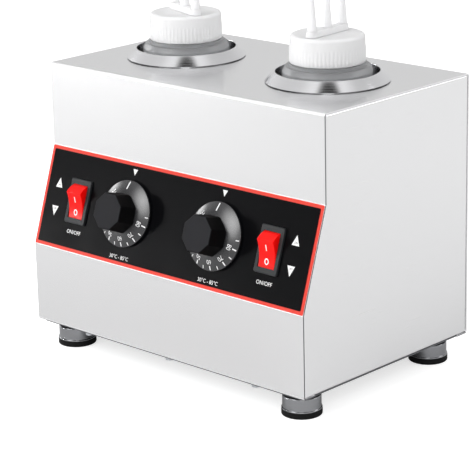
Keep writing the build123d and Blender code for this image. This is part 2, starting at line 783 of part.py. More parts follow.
# ---- Cord entry and wiring ----
gland_level = case_bottom + gland_z
behind = Plane(origin=(0, back_y, gland_level), x_dir=(-1, 0, 0), z_dir=(0, 1, 0))
with BuildPart() as cable_gland:
    with BuildSketch(behind):
        RegularPolygon(gland_flats / 2, 6, major_radius=False)
    extrude(amount=gland_flange)
    with BuildSketch(behind.offset(-gland_reach)):
        Circle(gland_radius)
    extrude(amount=gland_reach + gland_flange + gland_nose / 2)
    with BuildSketch(behind.offset(-gland_reach)):
        Circle(gland_bore_radius)
    extrude(amount=gland_reach + gland_flange + gland_nose, mode=Mode.SUBTRACT)
keep(cable_gland, "cable_gland")

with BuildPart() as gland_nut:
    with BuildSketch(behind.offset(gland_flange)):
        Circle(gland_dome_radius)
    extrude(amount=gland_nose)
    fillet(gland_nut.faces().sort_by(Axis.Y)[-1].edges(), gland_nose / 4)
    with BuildSketch(behind.offset(gland_flange)):
        Circle(gland_radius)
    extrude(amount=gland_nose / 2, mode=Mode.SUBTRACT)
    with BuildSketch(behind.offset(gland_flange)):
        Circle(gland_bore_radius + hole_gap)
    extrude(amount=gland_nose, mode=Mode.SUBTRACT)
keep(gland_nut, "gland_nut")

with BuildPart() as gland_locknut:
    with BuildSketch(behind.offset(-sheet)):
        RegularPolygon(gland_flats / 2, 6, major_radius=False)
        Circle(gland_radius, mode=Mode.SUBTRACT)
    extrude(amount=-locknut_height)
keep(gland_locknut, "gland_locknut")

block_y = back_y - block_inset
pole_pitch = block_width / block_poles
with BuildPart() as terminal_block:
    with BuildSketch(Plane(origin=(0, block_y, case_bottom))):
        Rectangle(block_width, block_depth)
    extrude(amount=block_step)
    with BuildSketch(Plane(origin=(0, block_y, case_bottom))):
        with GridLocations(pole_pitch, 0, block_poles, 1):
            Rectangle(pole_width, pole_depth)
    extrude(amount=block_height)
    with BuildSketch(Plane(origin=(0, block_y, case_bottom + block_height))):
        with GridLocations(pole_pitch, 0, block_poles, 1):
            Circle(screw_radius)
    extrude(amount=-screw_length, mode=Mode.SUBTRACT)
keep(terminal_block, "terminal_block")

with BuildPart() as terminal_screws:
    with BuildSketch(Plane(origin=(0, block_y, case_bottom + block_height))):
        with GridLocations(pole_pitch, 0, block_poles, 1):
            Circle(screw_radius)
    extrude(amount=-screw_length)
keep(terminal_screws, "terminal_screws")

with BuildPart() as earth_stud:
    with BuildSketch(Plane(origin=(earth_x, block_y, case_bottom))):
        Circle(earth_radius)
    extrude(amount=earth_length)
    with BuildSketch(Plane(origin=(earth_x, block_y, case_bottom))):
        RegularPolygon(earth_nut_flats / 2, 6, major_radius=False)
    extrude(amount=earth_nut_height)
keep(earth_stud, "earth_stud")
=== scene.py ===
"""Looks of a countertop warmer that keeps two squeeze bottles of topping warm.

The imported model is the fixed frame. Sheet-metal and inner nodes keep their meshes and get their finishes here.
The wells, dials, rockers, bottles, caps and feet are made again as finer meshes in the same places, and the
printed marks of the control panel and the dials are added. Lengths are millimetres until a piece is placed.
"""

import functools
import json
import logging
import math
from dataclasses import dataclass, field
from enum import Enum
from typing import Callable, Mapping, Sequence

import bmesh
import bpy
from mathutils import Matrix, Vector


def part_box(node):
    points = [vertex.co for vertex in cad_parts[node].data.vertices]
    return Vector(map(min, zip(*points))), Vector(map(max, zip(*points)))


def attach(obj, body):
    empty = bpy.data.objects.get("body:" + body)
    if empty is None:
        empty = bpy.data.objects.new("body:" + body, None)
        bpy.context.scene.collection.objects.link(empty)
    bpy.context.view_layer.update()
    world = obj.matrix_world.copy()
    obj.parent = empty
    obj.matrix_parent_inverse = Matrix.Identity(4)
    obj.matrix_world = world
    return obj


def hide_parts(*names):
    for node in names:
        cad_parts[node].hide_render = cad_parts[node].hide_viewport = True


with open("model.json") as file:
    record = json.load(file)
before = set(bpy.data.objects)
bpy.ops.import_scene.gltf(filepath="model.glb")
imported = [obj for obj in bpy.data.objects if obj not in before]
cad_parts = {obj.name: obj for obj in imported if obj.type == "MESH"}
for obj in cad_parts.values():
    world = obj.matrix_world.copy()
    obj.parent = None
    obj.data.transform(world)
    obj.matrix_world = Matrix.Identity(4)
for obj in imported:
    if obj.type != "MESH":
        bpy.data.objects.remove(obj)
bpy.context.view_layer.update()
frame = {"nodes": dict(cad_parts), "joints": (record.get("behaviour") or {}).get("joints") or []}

MM = 0.001
SIDES = {"left": -1, "right": 1}
Point = tuple[float, float]
log = logging.getLogger("warmer")


# ---- Nodes and finishes ----
def linear(hex_colour: str) -> tuple[float, float, float, float]:
    """Turns an sRGB hex colour into Blender's linear colour.

    Args:
        hex_colour: Six hex digits after a hash.

    Returns:
        Linear red, green, blue and an alpha of 1.
    """
    channels = [int(hex_colour[i:i + 2], 16) / 255 for i in (1, 3, 5)]
    return (*(c / 12.92 if c <= 0.04045 else ((c + 0.055) / 1.055) ** 2.4 for c in channels), 1.0)


def add_node(tree: bpy.types.NodeTree, kind: str, settings: Mapping[str | int, object] | None = None,
             links: Mapping[str | int, bpy.types.NodeSocket] | None = None) -> bpy.types.Node:
    """Adds one node with its settings and links.

    Args:
        tree: Node tree that gets the node.
        kind: Blender's name of the node type.
        settings: Values by name; a lower-case name is a property, any other is an input socket.
        links: Output sockets by the input that each goes to.

    Returns:
        The new node.
    """
    node = tree.nodes.new(kind)
    for key, value in (settings or {}).items():
        if isinstance(key, str) and key.islower():
            setattr(node, key, value)
        else:
            node.inputs[key].default_value = value
    for key, socket in (links or {}).items():
        tree.links.new(socket, node.inputs[key])
    return node


@dataclass(frozen=True)
class Finish:
    """A real material and how its surface was made.

    Attributes:
        name: What a maker calls it.
        slot: The record's material slot that it stands for; not used.
        colour: sRGB hex colour.
        roughness: Mean roughness.
        metallic: 1 for plain metal.
        ior: Index of refraction; metals keep the default.
        sockets: Further uniform values of the shader's own sockets.
    """

    name: str
    slot: str
    colour: str
    roughness: float
    metallic: float = 0.0
    ior: float = 1.5
    sockets: tuple[tuple[str, object], ...] = ()

    def texture(self, tree: bpy.types.NodeTree, shader: bpy.types.Node, place: bpy.types.NodeSocket) -> None:
        """Adds the surface's own pattern; a plain finish has none."""

    @functools.cache
    def material(self) -> bpy.types.Material:
        """Builds the material once.

        Returns:
            The material, shared by every piece with this finish.
        """
        made = bpy.data.materials.new(self.name)
        made.use_nodes = True
        tree = made.node_tree
        tree.nodes.clear()
        shader = add_node(tree, "ShaderNodeBsdfPrincipled", {
            "Base Color": linear(self.colour), "Roughness": self.roughness,
            "Metallic": self.metallic, "IOR": self.ior, **dict(self.sockets)})
        place = add_node(tree, "ShaderNodeTexCoord").outputs["Object"]
        self.texture(tree, shader, place)
        add_node(tree, "ShaderNodeOutputMaterial", links={"Surface": shader.outputs["BSDF"]})
        return made


class Grain(Enum):
    """Direction of a sheet's brushed grain."""

    ALONG_X = (1, 0, 0)
    ALONG_Y = (0, 1, 0)


@dataclass(frozen=True)
class BrushedSheet(Finish):
    """Stainless sheet drawn through a belt brush: fine parallel scratches soften what it reflects.

    Attributes:
        grain: Direction of the scratches.
        scratch_width: Real scratches are about 0.05 mm; drawn coarser so that they show.
        scratch_length: Mean length of a scratch.
        spread: How far the roughness varies between scratches.
        sheared_from: Distance from the middle plane beyond which the sheet's edge at the seam is painted dark,
            painted shade for the shadow in the seam.
        sheared_front: Distance ahead of the middle beyond which it does so; further back the edge gets no painted
            shade.
        sheared_below: Height under which the same dark colour is painted on the fold under the case, painted shade
            for the shadow that this fold mirrors.
        sheared_colour: Of the painted shade.
        folds: Bands of the sheet that the press has stretched: axis, middle and reach to either side.
        fold_roughness: How much duller the stretched sheet is.
    """

    grain: Grain = Grain.ALONG_X
    scratch_width: float = 0.4
    scratch_length: float = 60.0
    spread: float = 0.015
    sheared_from: float = 139.9
    sheared_front: float = 68.0
    sheared_below: float = 20.7
    sheared_colour: str = "#77787b"
    folds: tuple[tuple[str, float, float], ...] = (("Y", -81.5, 12.497), ("Z", 222.0, 0.95))
    fold_roughness: float = 0.36

    def texture(self, tree: bpy.types.NodeTree, shader: bpy.types.Node, place: bpy.types.NodeSocket) -> None:
        """Varies roughness and height in streaks along the grain, dulls the folds, and adds painted shade at the
        seam and on the fold under the case.
        """
        scale = [1 / (MM * (self.scratch_length if along else self.scratch_width)) for along in self.grain.value]
        stretched = add_node(tree, "ShaderNodeVectorMath", {"operation": "MULTIPLY", 1: scale}, {0: place})
        streaks = add_node(tree, "ShaderNodeTexNoise", {"Scale": 1.0, "Detail": 3.0, "Roughness": 0.65},
                           {"Vector": stretched.outputs[0]})
        rough = add_node(tree, "ShaderNodeMapRange", {
            "From Min": 0.3, "From Max": 0.7, "To Min": self.roughness - self.spread,
            "To Max": self.roughness + self.spread}, {"Value": streaks.outputs["Fac"]})
        bump = add_node(tree, "ShaderNodeBump", {"Strength": 0.008, "Distance": 0.05 * MM},
                        {"Height": streaks.outputs["Fac"]})
        across = add_node(tree, "ShaderNodeSeparateXYZ", links={0: place})
        side = add_node(tree, "ShaderNodeMath", {"operation": "ABSOLUTE"}, {0: across.outputs["X"]})
        # Painted shade: the sheet's edge at the seam, on the front of the case, is painted dark for the shadow in
        # the seam.
        at_seam = add_node(tree, "ShaderNodeMath", {"operation": "GREATER_THAN", 1: self.sheared_from * MM},
                       {0: side.outputs[0]})
        ahead = add_node(tree, "ShaderNodeMath", {"operation": "LESS_THAN", 1: -self.sheared_front * MM},
                         {0: across.outputs["Y"]})
        edge = add_node(tree, "ShaderNodeMath", {"operation": "MULTIPLY"}, {0: at_seam.outputs[0],
                                                                            1: ahead.outputs[0]})
        # Painted shade: the fold under the case is painted dark for the shadow that it mirrors.
        under = add_node(tree, "ShaderNodeMath", {"operation": "LESS_THAN", 1: self.sheared_below * MM},
                         {0: across.outputs["Z"]})
        for axis, middle, reach in self.folds:
            fold = add_node(tree, "ShaderNodeMath", {"operation": "COMPARE", 1: middle * MM, 2: reach * MM},
                            {0: across.outputs[axis]})
            rough = add_node(tree, "ShaderNodeMath", {"operation": "MULTIPLY_ADD", 1: self.fold_roughness},
                             {0: fold.outputs[0], 2: rough.outputs[0]})
        # Where the painted shade goes; the mix below paints it in the dark colour.
        painted_shade = add_node(tree, "ShaderNodeMath", {"operation": "MAXIMUM"}, {0: edge.outputs[0],
                                                                           1: under.outputs[0]})
        tint = add_node(tree, "ShaderNodeMix", {"data_type": "RGBA", 6: linear(self.colour),
                                                7: linear(self.sheared_colour)}, {0: painted_shade.outputs[0]})
        tree.links.new(tint.outputs[2], shader.inputs["Base Color"])
        tree.links.new(rough.outputs[0], shader.inputs["Roughness"])
        tree.links.new(bump.outputs[0], shader.inputs["Normal"])


@dataclass(frozen=True)
class SpunSheet(Finish):
    """Stainless spun over a former and polished on the lathe: faint rings round the axis stretch highlights.

    Attributes:
        ring_width: Width of the turning lines, drawn coarser than the real 0.1 mm so that they show.
        spread: How far the roughness varies between lines.
    """

    ring_width: float = 0.6
    spread: float = 0.05

    def texture(self, tree: bpy.types.NodeTree, shader: bpy.types.Node, place: bpy.types.NodeSocket) -> None:
        """Varies roughness in level rings; the height above the counter numbers them."""
        height = add_node(tree, "ShaderNodeSeparateXYZ", links={0: place})
        rings = add_node(tree, "ShaderNodeTexNoise", {
            "noise_dimensions": "1D", "Scale": 1 / (self.ring_width * MM), "Detail": 2.0},
            {"W": height.outputs["Z"]})
        rough = add_node(tree, "ShaderNodeMapRange", {
            "From Min": 0.3, "From Max": 0.7, "To Min": self.roughness - self.spread,
            "To Max": self.roughness + self.spread}, {"Value": rings.outputs["Fac"]})
        tree.links.new(rough.outputs[0], shader.inputs["Roughness"])


@dataclass(frozen=True)
class Moulded(Finish):
    """Plastic, rubber or fibre with the fine texture of its mould or its own grain.

    Attributes:
        grain_size: Size of the texture's grains.
        grain_height: How high the grains stand.
        mottle: How far the colour varies, as a share.
        spread: How far the roughness varies.
    """

    grain_size: float = 0.8
    grain_height: float = 0.02
    mottle: float = 0.06
    spread: float = 0.04

    def texture(self, tree: bpy.types.NodeTree, shader: bpy.types.Node, place: bpy.types.NodeSocket) -> None:
        """Adds fine grain in height, and slow mottling in colour and roughness."""
        grains = add_node(tree, "ShaderNodeTexNoise", {"Scale": 1 / (self.grain_size * MM), "Detail": 2.0},
                          {"Vector": place})
        clouds = add_node(tree, "ShaderNodeTexNoise", {"Scale": 1 / (30 * self.grain_size * MM), "Detail": 3.0},
                          {"Vector": place})
        base = linear(self.colour)
        shades = [[min(1.0, c * (1 + self.mottle * way)) for c in base[:3]] + [1.0] for way in (-1, 1)]
        colour = add_node(tree, "ShaderNodeMix", {"data_type": "RGBA", 6: shades[0], 7: shades[1]},
                          {0: clouds.outputs["Fac"]})
        rough = add_node(tree, "ShaderNodeMapRange", {
            "From Min": 0.3, "From Max": 0.7, "To Min": self.roughness - self.spread,
            "To Max": self.roughness + self.spread}, {"Value": clouds.outputs["Fac"]})
        bump = add_node(tree, "ShaderNodeBump", {"Strength": 0.3, "Distance": self.grain_height * MM},
                        {"Height": grains.outputs["Fac"]})
        tree.links.new(colour.outputs[2], shader.inputs["Base Color"])
        tree.links.new(rough.outputs[0], shader.inputs["Roughness"])
        tree.links.new(bump.outputs[0], shader.inputs["Normal"])


# Satin stainless: bright, with soft reflections drawn out along the grain.
SHEET_ACROSS = BrushedSheet("brushed_stainless_steel", "brushed_stainless", "#f3f3f4", 0.24, 1.0)
# The side trays take the painted shade on their fold under the case, but none at the seam, whose distance lies
# beyond them.
SHEET_DEEP = BrushedSheet("brushed_stainless_steel_side", "brushed_stainless", "#f7f7f8", 0.26, 1.0,
                          grain=Grain.ALONG_Y, sheared_from=200.0, folds=(("Z", 222.0, 0.95),))
# Spun stainless: nearly a mirror, so it shows dark and light patches of the room.
SPUN = SpunSheet("spun_stainless_steel", "spun_stainless", "#ececee", 0.14, 1.0)
# Zinc plating: duller and slightly blue.
ZINC = Moulded("zinc_plated_steel", "zinc_steel", "#d3d6da", 0.34, 1.0, mottle=0.1)
# Polyester overlay, printed on its back and velvet-grained on its face: near-black with no sharp highlight.
BLACK_FILM = Moulded("polyester_film_black", "black_film", "#050507", 0.36, mottle=0.05, grain_height=0.01,
                     sockets=(("Specular IOR Level", 0.05),))
RED_FILM = Moulded("polyester_film_red", "red_backing", "#db3a2b", 0.5, mottle=0.03, grain_height=0.01,
                   sockets=(("Specular IOR Level", 0.3),))
# Screen-printed ink: flat white with soft edges.
WHITE_INK = Moulded("screen_ink_white", "black_film", "#f2f2f2", 0.6, mottle=0.02, grain_height=0.005)
BLACK_INK = Moulded("screen_ink_black", "black_film", "#2a2a2c", 0.6, mottle=0.02, grain_height=0.005)
# Glossy phenolic: black with clear highlights on its skirt.
KNOB_GLOSS = Moulded("phenolic_gloss_black", "knob_black", "#1d1d20", 0.25, ior=1.6, mottle=0.05,
                     grain_height=0.004, sockets=(("Specular IOR Level", 0.75),))
# The grip's flats are dull, and painted darker than the rest of the knob: painted shade for the sides that face away
# from the light. Its face is left as moulded, greyer and grained.
KNOB_SHADED_FLATS = Moulded("phenolic_black_painted_shade", "knob_black", "#080809", 0.55, ior=1.6, mottle=0.05,
                    grain_height=0.01, sockets=(("Specular IOR Level", 0.05),))
KNOB_MATT = Moulded("phenolic_grained_black", "knob_black", "#202023", 0.6, ior=1.6, mottle=0.25,
                    grain_height=0.05, grain_size=0.5, sockets=(("Specular IOR Level", 0.1),))
# Glass-filled nylon: dark grey with a dull moulded grain.
HOUSING = Moulded("nylon_moulded_black", "housing_black", "#27292b", 0.5, ior=1.53, mottle=0.06,
                  sockets=(("Specular IOR Level", 0.3),))
# Tinted polycarbonate over a neon lamp: saturated red that light gets into.
ROCKER_RED = Moulded("polycarbonate_red", "rocker_red", "#ff0a04", 0.38, ior=1.58, mottle=0.02,
                     grain_height=0.003, sockets=(("Subsurface Weight", 0.8), ("Subsurface Scale", 0.008),
                                                  ("Subsurface Radius", (1.0, 0.04, 0.02)),
                                                  ("Specular IOR Level", 0.15)))
# Low-density polyethylene: milky, so the dark of the well shows through the bottle and light spreads in the cap.
BOTTLE_PE = Moulded("polyethylene_milky", "bottle_plastic", "#e4e5e7", 0.38, ior=1.51, mottle=0.02,
                    grain_height=0.01, sockets=(("Transmission Weight", 0.85), ("Specular IOR Level", 0.4)))
CAP_PE = Moulded("polyethylene_white", "cap_plastic", "#e6e6e7", 0.38, ior=1.51, mottle=0.01,
                 grain_height=0.01, sockets=(("Subsurface Weight", 0.7), ("Subsurface Scale", 0.003),
                                             ("Subsurface Radius", (1.0, 1.0, 1.0))))
SILICONE = Moulded("silicone_rubber", "seal_rubber", "#dedcd5", 0.55, ior=1.41)
# Vulcanised rubber: black, dull, slightly dusty.
RUBBER = Moulded("vulcanised_rubber", "foot_rubber", "#0a0a0b", 0.7, ior=1.52, mottle=0.15,
                 sockets=(("Specular IOR Level", 0.2),))
# Drawn stainless shell: mirror-like bands round the foot. Its colour is painted darker than the other stainless,
# painted shade for a foot that stands under the case.
FOOT_STEEL_SHADED = SpunSheet("drawn_stainless_steel_painted_shade", "foot_steel", "#9a9b9e", 0.14, 1.0)
BRASS = Moulded("brass_stamped", "brass", "#c9a659", 0.3, 1.0)
COPPER = Moulded("copper_drawn", "copper", "#c67c55", 0.3, 1.0)
PHENOLIC = Moulded("phenolic_brown", "phenolic", "#2c211c", 0.4, ior=1.6)
# Heater sheath: steel blued by its own heat.
SHEATH = Moulded("blued_steel_sheath", "mica_steel", "#8b857c", 0.42, 1.0, mottle=0.2)
BLANKET = Moulded("ceramic_fibre_blanket", "lagging_fibre", "#e6e3da", 0.9, grain_size=1.6, grain_height=0.5)
NYLON = Moulded("nylon_black", "nylon", "#232325", 0.4, ior=1.53)
CERAMIC = Moulded("glazed_steatite", "ceramic", "#e4e2da", 0.3, ior=1.6)


# ---- Meshes ----
def rounded(points: Sequence[Point], radii: Mapping[int, float], steps: int = 5) -> list[Point]:
    """Rounds chosen corners of an outline with arcs.

    Args:
        points: The outline's corners.
        radii: Radius by the number of the corner that it rounds.
        steps: Straight runs in each arc.

    Returns:
        The outline with its arcs as points.
    """
    result: list[Point] = []
    for i, corner in enumerate(points):
        if i not in radii:
            result.append(corner)
            continue
        here = Vector(corner)
        back = (Vector(points[i - 1]) - here).normalized()
        ahead = (Vector(points[(i + 1) % len(points)]) - here).normalized()
        half = back.angle(ahead) / 2
        middle = here + (back + ahead).normalized() * radii[i] / math.sin(half)
        start = here + back * radii[i] / math.tan(half) - middle
        turn = math.pi - 2 * half
        way = 1 if back.x * ahead.y - back.y * ahead.x < 0 else -1
        for step in range(steps + 1):
            angle = way * turn * step / steps
            result.append((middle.x + start.x * math.cos(angle) - start.y * math.sin(angle),
                           middle.y + start.x * math.sin(angle) + start.y * math.cos(angle)))
    return result


def lathe(profile: Sequence[Point], segments: int = 144,
          shape: Callable[[float, float, float], float] | None = None) -> bmesh.types.BMesh:
    """Turns a profile round the local z axis.

    Args:
        profile: Radius and height of each point. It closes on itself, and may run along the axis.
        segments: Steps round the axis.
        shape: Gives the radius from the plain radius, the height and the angle, for ribs and flutes.

    Returns:
        A closed mesh.
    """
    mesh = bmesh.new()
    rings: list[list[bmesh.types.BMVert]] = []
    for radius, height in profile:
        if radius < 1e-6:
            rings.append([mesh.verts.new((0, 0, height))])
            continue
        ring = []
        for i in range(segments):
            angle = math.tau * i / segments
            reach = shape(radius, height, angle) if shape else radius
            ring.append(mesh.verts.new((reach * math.cos(angle), reach * math.sin(angle), height)))
        rings.append(ring)
    pairs = list(zip(rings, rings[1:]))
    pairs.append((rings[-1], rings[0]))
    for low, high in pairs:
        if len(low) == len(high) == 1:
            continue
        for i in range(segments):
            j = (i + 1) % segments
            corners = [low[i % len(low)], low[j % len(low)], high[j % len(high)], high[i % len(high)]]
            mesh.faces.new(dict.fromkeys(corners))
    return mesh


def prism(outline: Sequence[Point], low: float, high: float, draft: float = 0.0) -> bmesh.types.BMesh:
    """Extrudes an outline along local z.

    Args:
        outline: Corners in the local xy plane.
        low: Height of the bottom.
        high: Height of the top.
        draft: How far the top's corners move towards the outline's own origin, as a share.

    Returns:
        A closed mesh.
    """
    mesh = bmesh.new()
    bottom = [mesh.verts.new((x, y, low)) for x, y in outline]
    top = [mesh.verts.new((x * (1 - draft), y * (1 - draft), high)) for x, y in outline]
    mesh.faces.new(reversed(bottom))
    mesh.faces.new(top)
    for i in range(len(outline)):
        j = (i + 1) % len(outline)
        mesh.faces.new((bottom[i], bottom[j], top[j], top[i]))
    return mesh


def lettering(text: str, height: float, thickness: float) -> bmesh.types.BMesh:
    """Makes a word or number as thin solid letters, centred on the local origin.

    Args:
        text: What it says.
        height: Height of its capitals or digits.
        thickness: From the back to the face of the letters.

    Returns:
        A closed mesh.
    """
    curve = bpy.data.curves.new(text, "FONT")
    curve.body = text
    curve.align_x = "CENTER"
    curve.resolution_u = 3
    holder = bpy.data.objects.new(text, curve)
    bpy.context.scene.collection.objects.link(holder)
    flat = bpy.data.meshes.new_from_object(holder.evaluated_get(bpy.context.evaluated_depsgraph_get()))
    tall = max(v.co.y for v in flat.vertices)
    curve.extrude = thickness / 2 * tall / height
    solid = bpy.data.meshes.new_from_object(holder.evaluated_get(bpy.context.evaluated_depsgraph_get()))
    mesh = bmesh.new()
    mesh.from_mesh(solid)
    bmesh.ops.remove_doubles(mesh, verts=mesh.verts, dist=1e-5)
    bmesh.ops.scale(mesh, vec=(height / tall,) * 3, verts=mesh.verts)
    bmesh.ops.translate(mesh, vec=(0, -height / 2, 0), verts=mesh.verts)
    for used in (flat, solid):
        bpy.data.meshes.remove(used)
    bpy.data.objects.remove(holder)
    bpy.data.curves.remove(curve)
    return mesh


def joined(meshes: Sequence[bmesh.types.BMesh]) -> bmesh.types.BMesh:
    """Puts several meshes into one.

    Args:
        meshes: The meshes, freed once they are copied.

    Returns:
        One mesh with all their faces.
    """
    whole = bmesh.new()
    for mesh in meshes:
        copy = bpy.data.meshes.new("copy")
        mesh.to_mesh(copy)
        mesh.free()
        whole.from_mesh(copy)
        bpy.data.meshes.remove(copy)
    return whole


def moved(mesh: bmesh.types.BMesh, rule: Callable[[Vector], Vector]) -> bmesh.types.BMesh:
    """Moves every point of a mesh by a rule and returns the same mesh."""
    for vert in mesh.verts:
        vert.co = rule(vert.co)
    return mesh


def placement(origin: Vector, x_dir: Vector = Vector((1, 0, 0)), z_dir: Vector = Vector((0, 0, 1))) -> Matrix:
    """Gives the matrix from a piece's own millimetres to the frame's metres.

    Args:
        origin: The local origin, in metres.
        x_dir: Direction of local x.
        z_dir: Direction of local z.

    Returns:
        The 4 by 4 matrix.
    """
    turn = Matrix((x_dir, z_dir.cross(x_dir), z_dir)).transposed().to_4x4()
    return Matrix.Translation(origin) @ turn @ Matrix.Scale(MM, 4)


def add_piece(name: str, mesh: bmesh.types.BMesh, place: Matrix, body: str, finish: Finish,
              replaces: Sequence[str] = (), bevel: float = 0.0, crease: float = 32.0) -> bpy.types.Object:
    """Makes a finished piece that rides on a body.

    Args:
        name: Name of the piece.
        mesh: Its mesh in local millimetres, freed afterwards.
        place: From placement().
        body: Body that it rides on.
        finish: Its finish.
        replaces: CAD nodes that it stands for.
        bevel: Width of the rounding on its sharp edges.
        crease: Angle in degrees from which an edge stays sharp.

    Returns:
        The object.
    """
    bmesh.ops.recalc_face_normals(mesh, faces=mesh.faces)
    data = bpy.data.meshes.new(name)
    mesh.to_mesh(data)
    mesh.free()
    data.transform(place)
    data.shade_smooth()
    data.set_sharp_from_angle(angle=math.radians(crease))
    piece = bpy.data.objects.new(name, data)
    bpy.context.scene.collection.objects.link(piece)
    if bevel:
        rounding = piece.modifiers.new("edges", "BEVEL")
        rounding.width = bevel * MM
        rounding.segments = 3
        rounding.limit_method = "ANGLE"
        rounding.angle_limit = math.radians(crease)
        rounding.harden_normals = True
    data.materials.append(finish.material())
    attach(piece, body)
    if replaces:
        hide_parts(*replaces)
    log.info("%s rides on %s", name, body)
    return piece


def dress(node: str, finish: Finish) -> None:
    """Gives a CAD node its finish."""
    piece = frame["nodes"][node]
    if not piece.material_slots:
        piece.data.materials.append(None)
    for slot in piece.material_slots:
        slot.material = finish.material()
    log.info("%s is dressed in %s", node, finish.name)


def joint(name: str) -> tuple[Vector, Vector]:
    """Finds a hinge's place and axis.

    Args:
        name: The joint's name.

    Returns:
        A point on the axis, in metres, and the axis.
    """
    found = next(j for j in frame["joints"] if j["name"] == name)
    return Vector(found["pos_m"]), Vector(found["axis"])


# ---- Sub-assemblies ----
@dataclass
class Case:
    """The folded sheet-metal case and its base."""

    def build(self) -> None:
        """Dresses the case's sheets and screws."""
        for node in ("wrap_shell", "base_plate", "well_rail"):
            dress(node, SHEET_ACROSS)
        for side in SIDES:
            dress(f"{side}_side_tray", SHEET_DEEP)
        dress("base_screws", ZINC)


@dataclass
class ControlPanel:
    """The overlay on the slope, with its printed marks.

    Attributes:
        film_rise: Height of the film's face above the sheet.
        ink: Thickness of the printed marks, which are sunk by as much again.
        pointer_width: Of the white pointer above each dial.
        pointer_height: Of the same.
        pointer_level: Height of its tip up the slope.
        arrow_width: Of the arrows beside the switches.
        arrow_height: Of the same.
        arrow_offset: Of the arrows, outwards from the middle of the switch.
        left_arrow_shift: How much further outwards the arrows beside the left switch stand.
        arrow_level: Height of an arrow's near edge from the switch's middle.
        label_height: Height of the labels' letters.
        dial_label_drop: Of a dial's label, down the slope from the middle.
        switch_label_drop: Of a switch's label, likewise.
    """

    film_rise: float = 0.55
    ink: float = 0.04
    pointer_width: float = 4.7
    pointer_height: float = 4.6
    pointer_level: float = 29.5
    arrow_width: float = 7.0
    arrow_height: float = 7.6
    arrow_offset: float = 21.5
    left_arrow_shift: float = 3.8
    arrow_level: float = 7.3
    label_height: float = 2.9
    dial_label_drop: float = 33.2
    switch_label_drop: float = 23.9

    def plate(self, outline: Sequence[Point], u: float, v: float) -> bmesh.types.BMesh:
        """Makes a flat printed mark round a point of the panel."""
        shifted = [(x + u, y + v) for x, y in outline]
        return prism(shifted, self.film_rise - self.ink, self.film_rise + self.ink)

    def words(self, text: str, height: float, u: float, v: float, rise: float = 0.0) -> bmesh.types.BMesh:
        """Makes small letters round a point of the panel."""
        shift = Vector((u, v, self.film_rise + rise))
        return moved(lettering(text, height, 2 * self.ink), lambda point: point + shift)

    def build(self) -> None:
        """Dresses the overlay and prints its marks."""
        dress("control_backing", RED_FILM)
        dress("control_film", BLACK_FILM)
        left, axis = joint("left_dial_turn")
        right, _ = joint("right_dial_turn")
        place = placement((left + right) / 2, z_dir=-axis)
        dial_u = (right - left).length / 2 / MM
        switch_u = joint("right_rocker_swing")[0].x / MM
        white, black = [], []
        half, tall = self.pointer_width / 2, self.pointer_height
        arrow_half, arrow_tall = self.arrow_width / 2, self.arrow_height
        for way in SIDES.values():
            pointer = [(-half, tall), (0, 0), (half, tall)]
            white.append(self.plate(pointer, dial_u * way, self.pointer_level))
            white.append(self.words("30°C - 85°C", self.label_height, dial_u * way, -self.dial_label_drop))
            white.append(self.words("ON/OFF", self.label_height, switch_u * way, -self.switch_label_drop))
            for end, word in ((1, "ON"), (-1, "OFF")):
                arrow = [(-arrow_half, 0), (arrow_half, 0), (0, arrow_tall * end)]
                u = (switch_u + self.arrow_offset) * way + self.left_arrow_shift * min(way, 0)
                white.append(self.plate(arrow, u, self.arrow_level * end))
                v = (self.arrow_level + 0.27 * arrow_tall) * end
                black.append(self.words(word, 0.19 * arrow_tall, u, v, rise=self.ink))
        add_piece("panel_marks_white", joined(white), place, "case", WHITE_INK)
        add_piece("panel_marks_black", joined(black), place, "case", BLACK_INK)


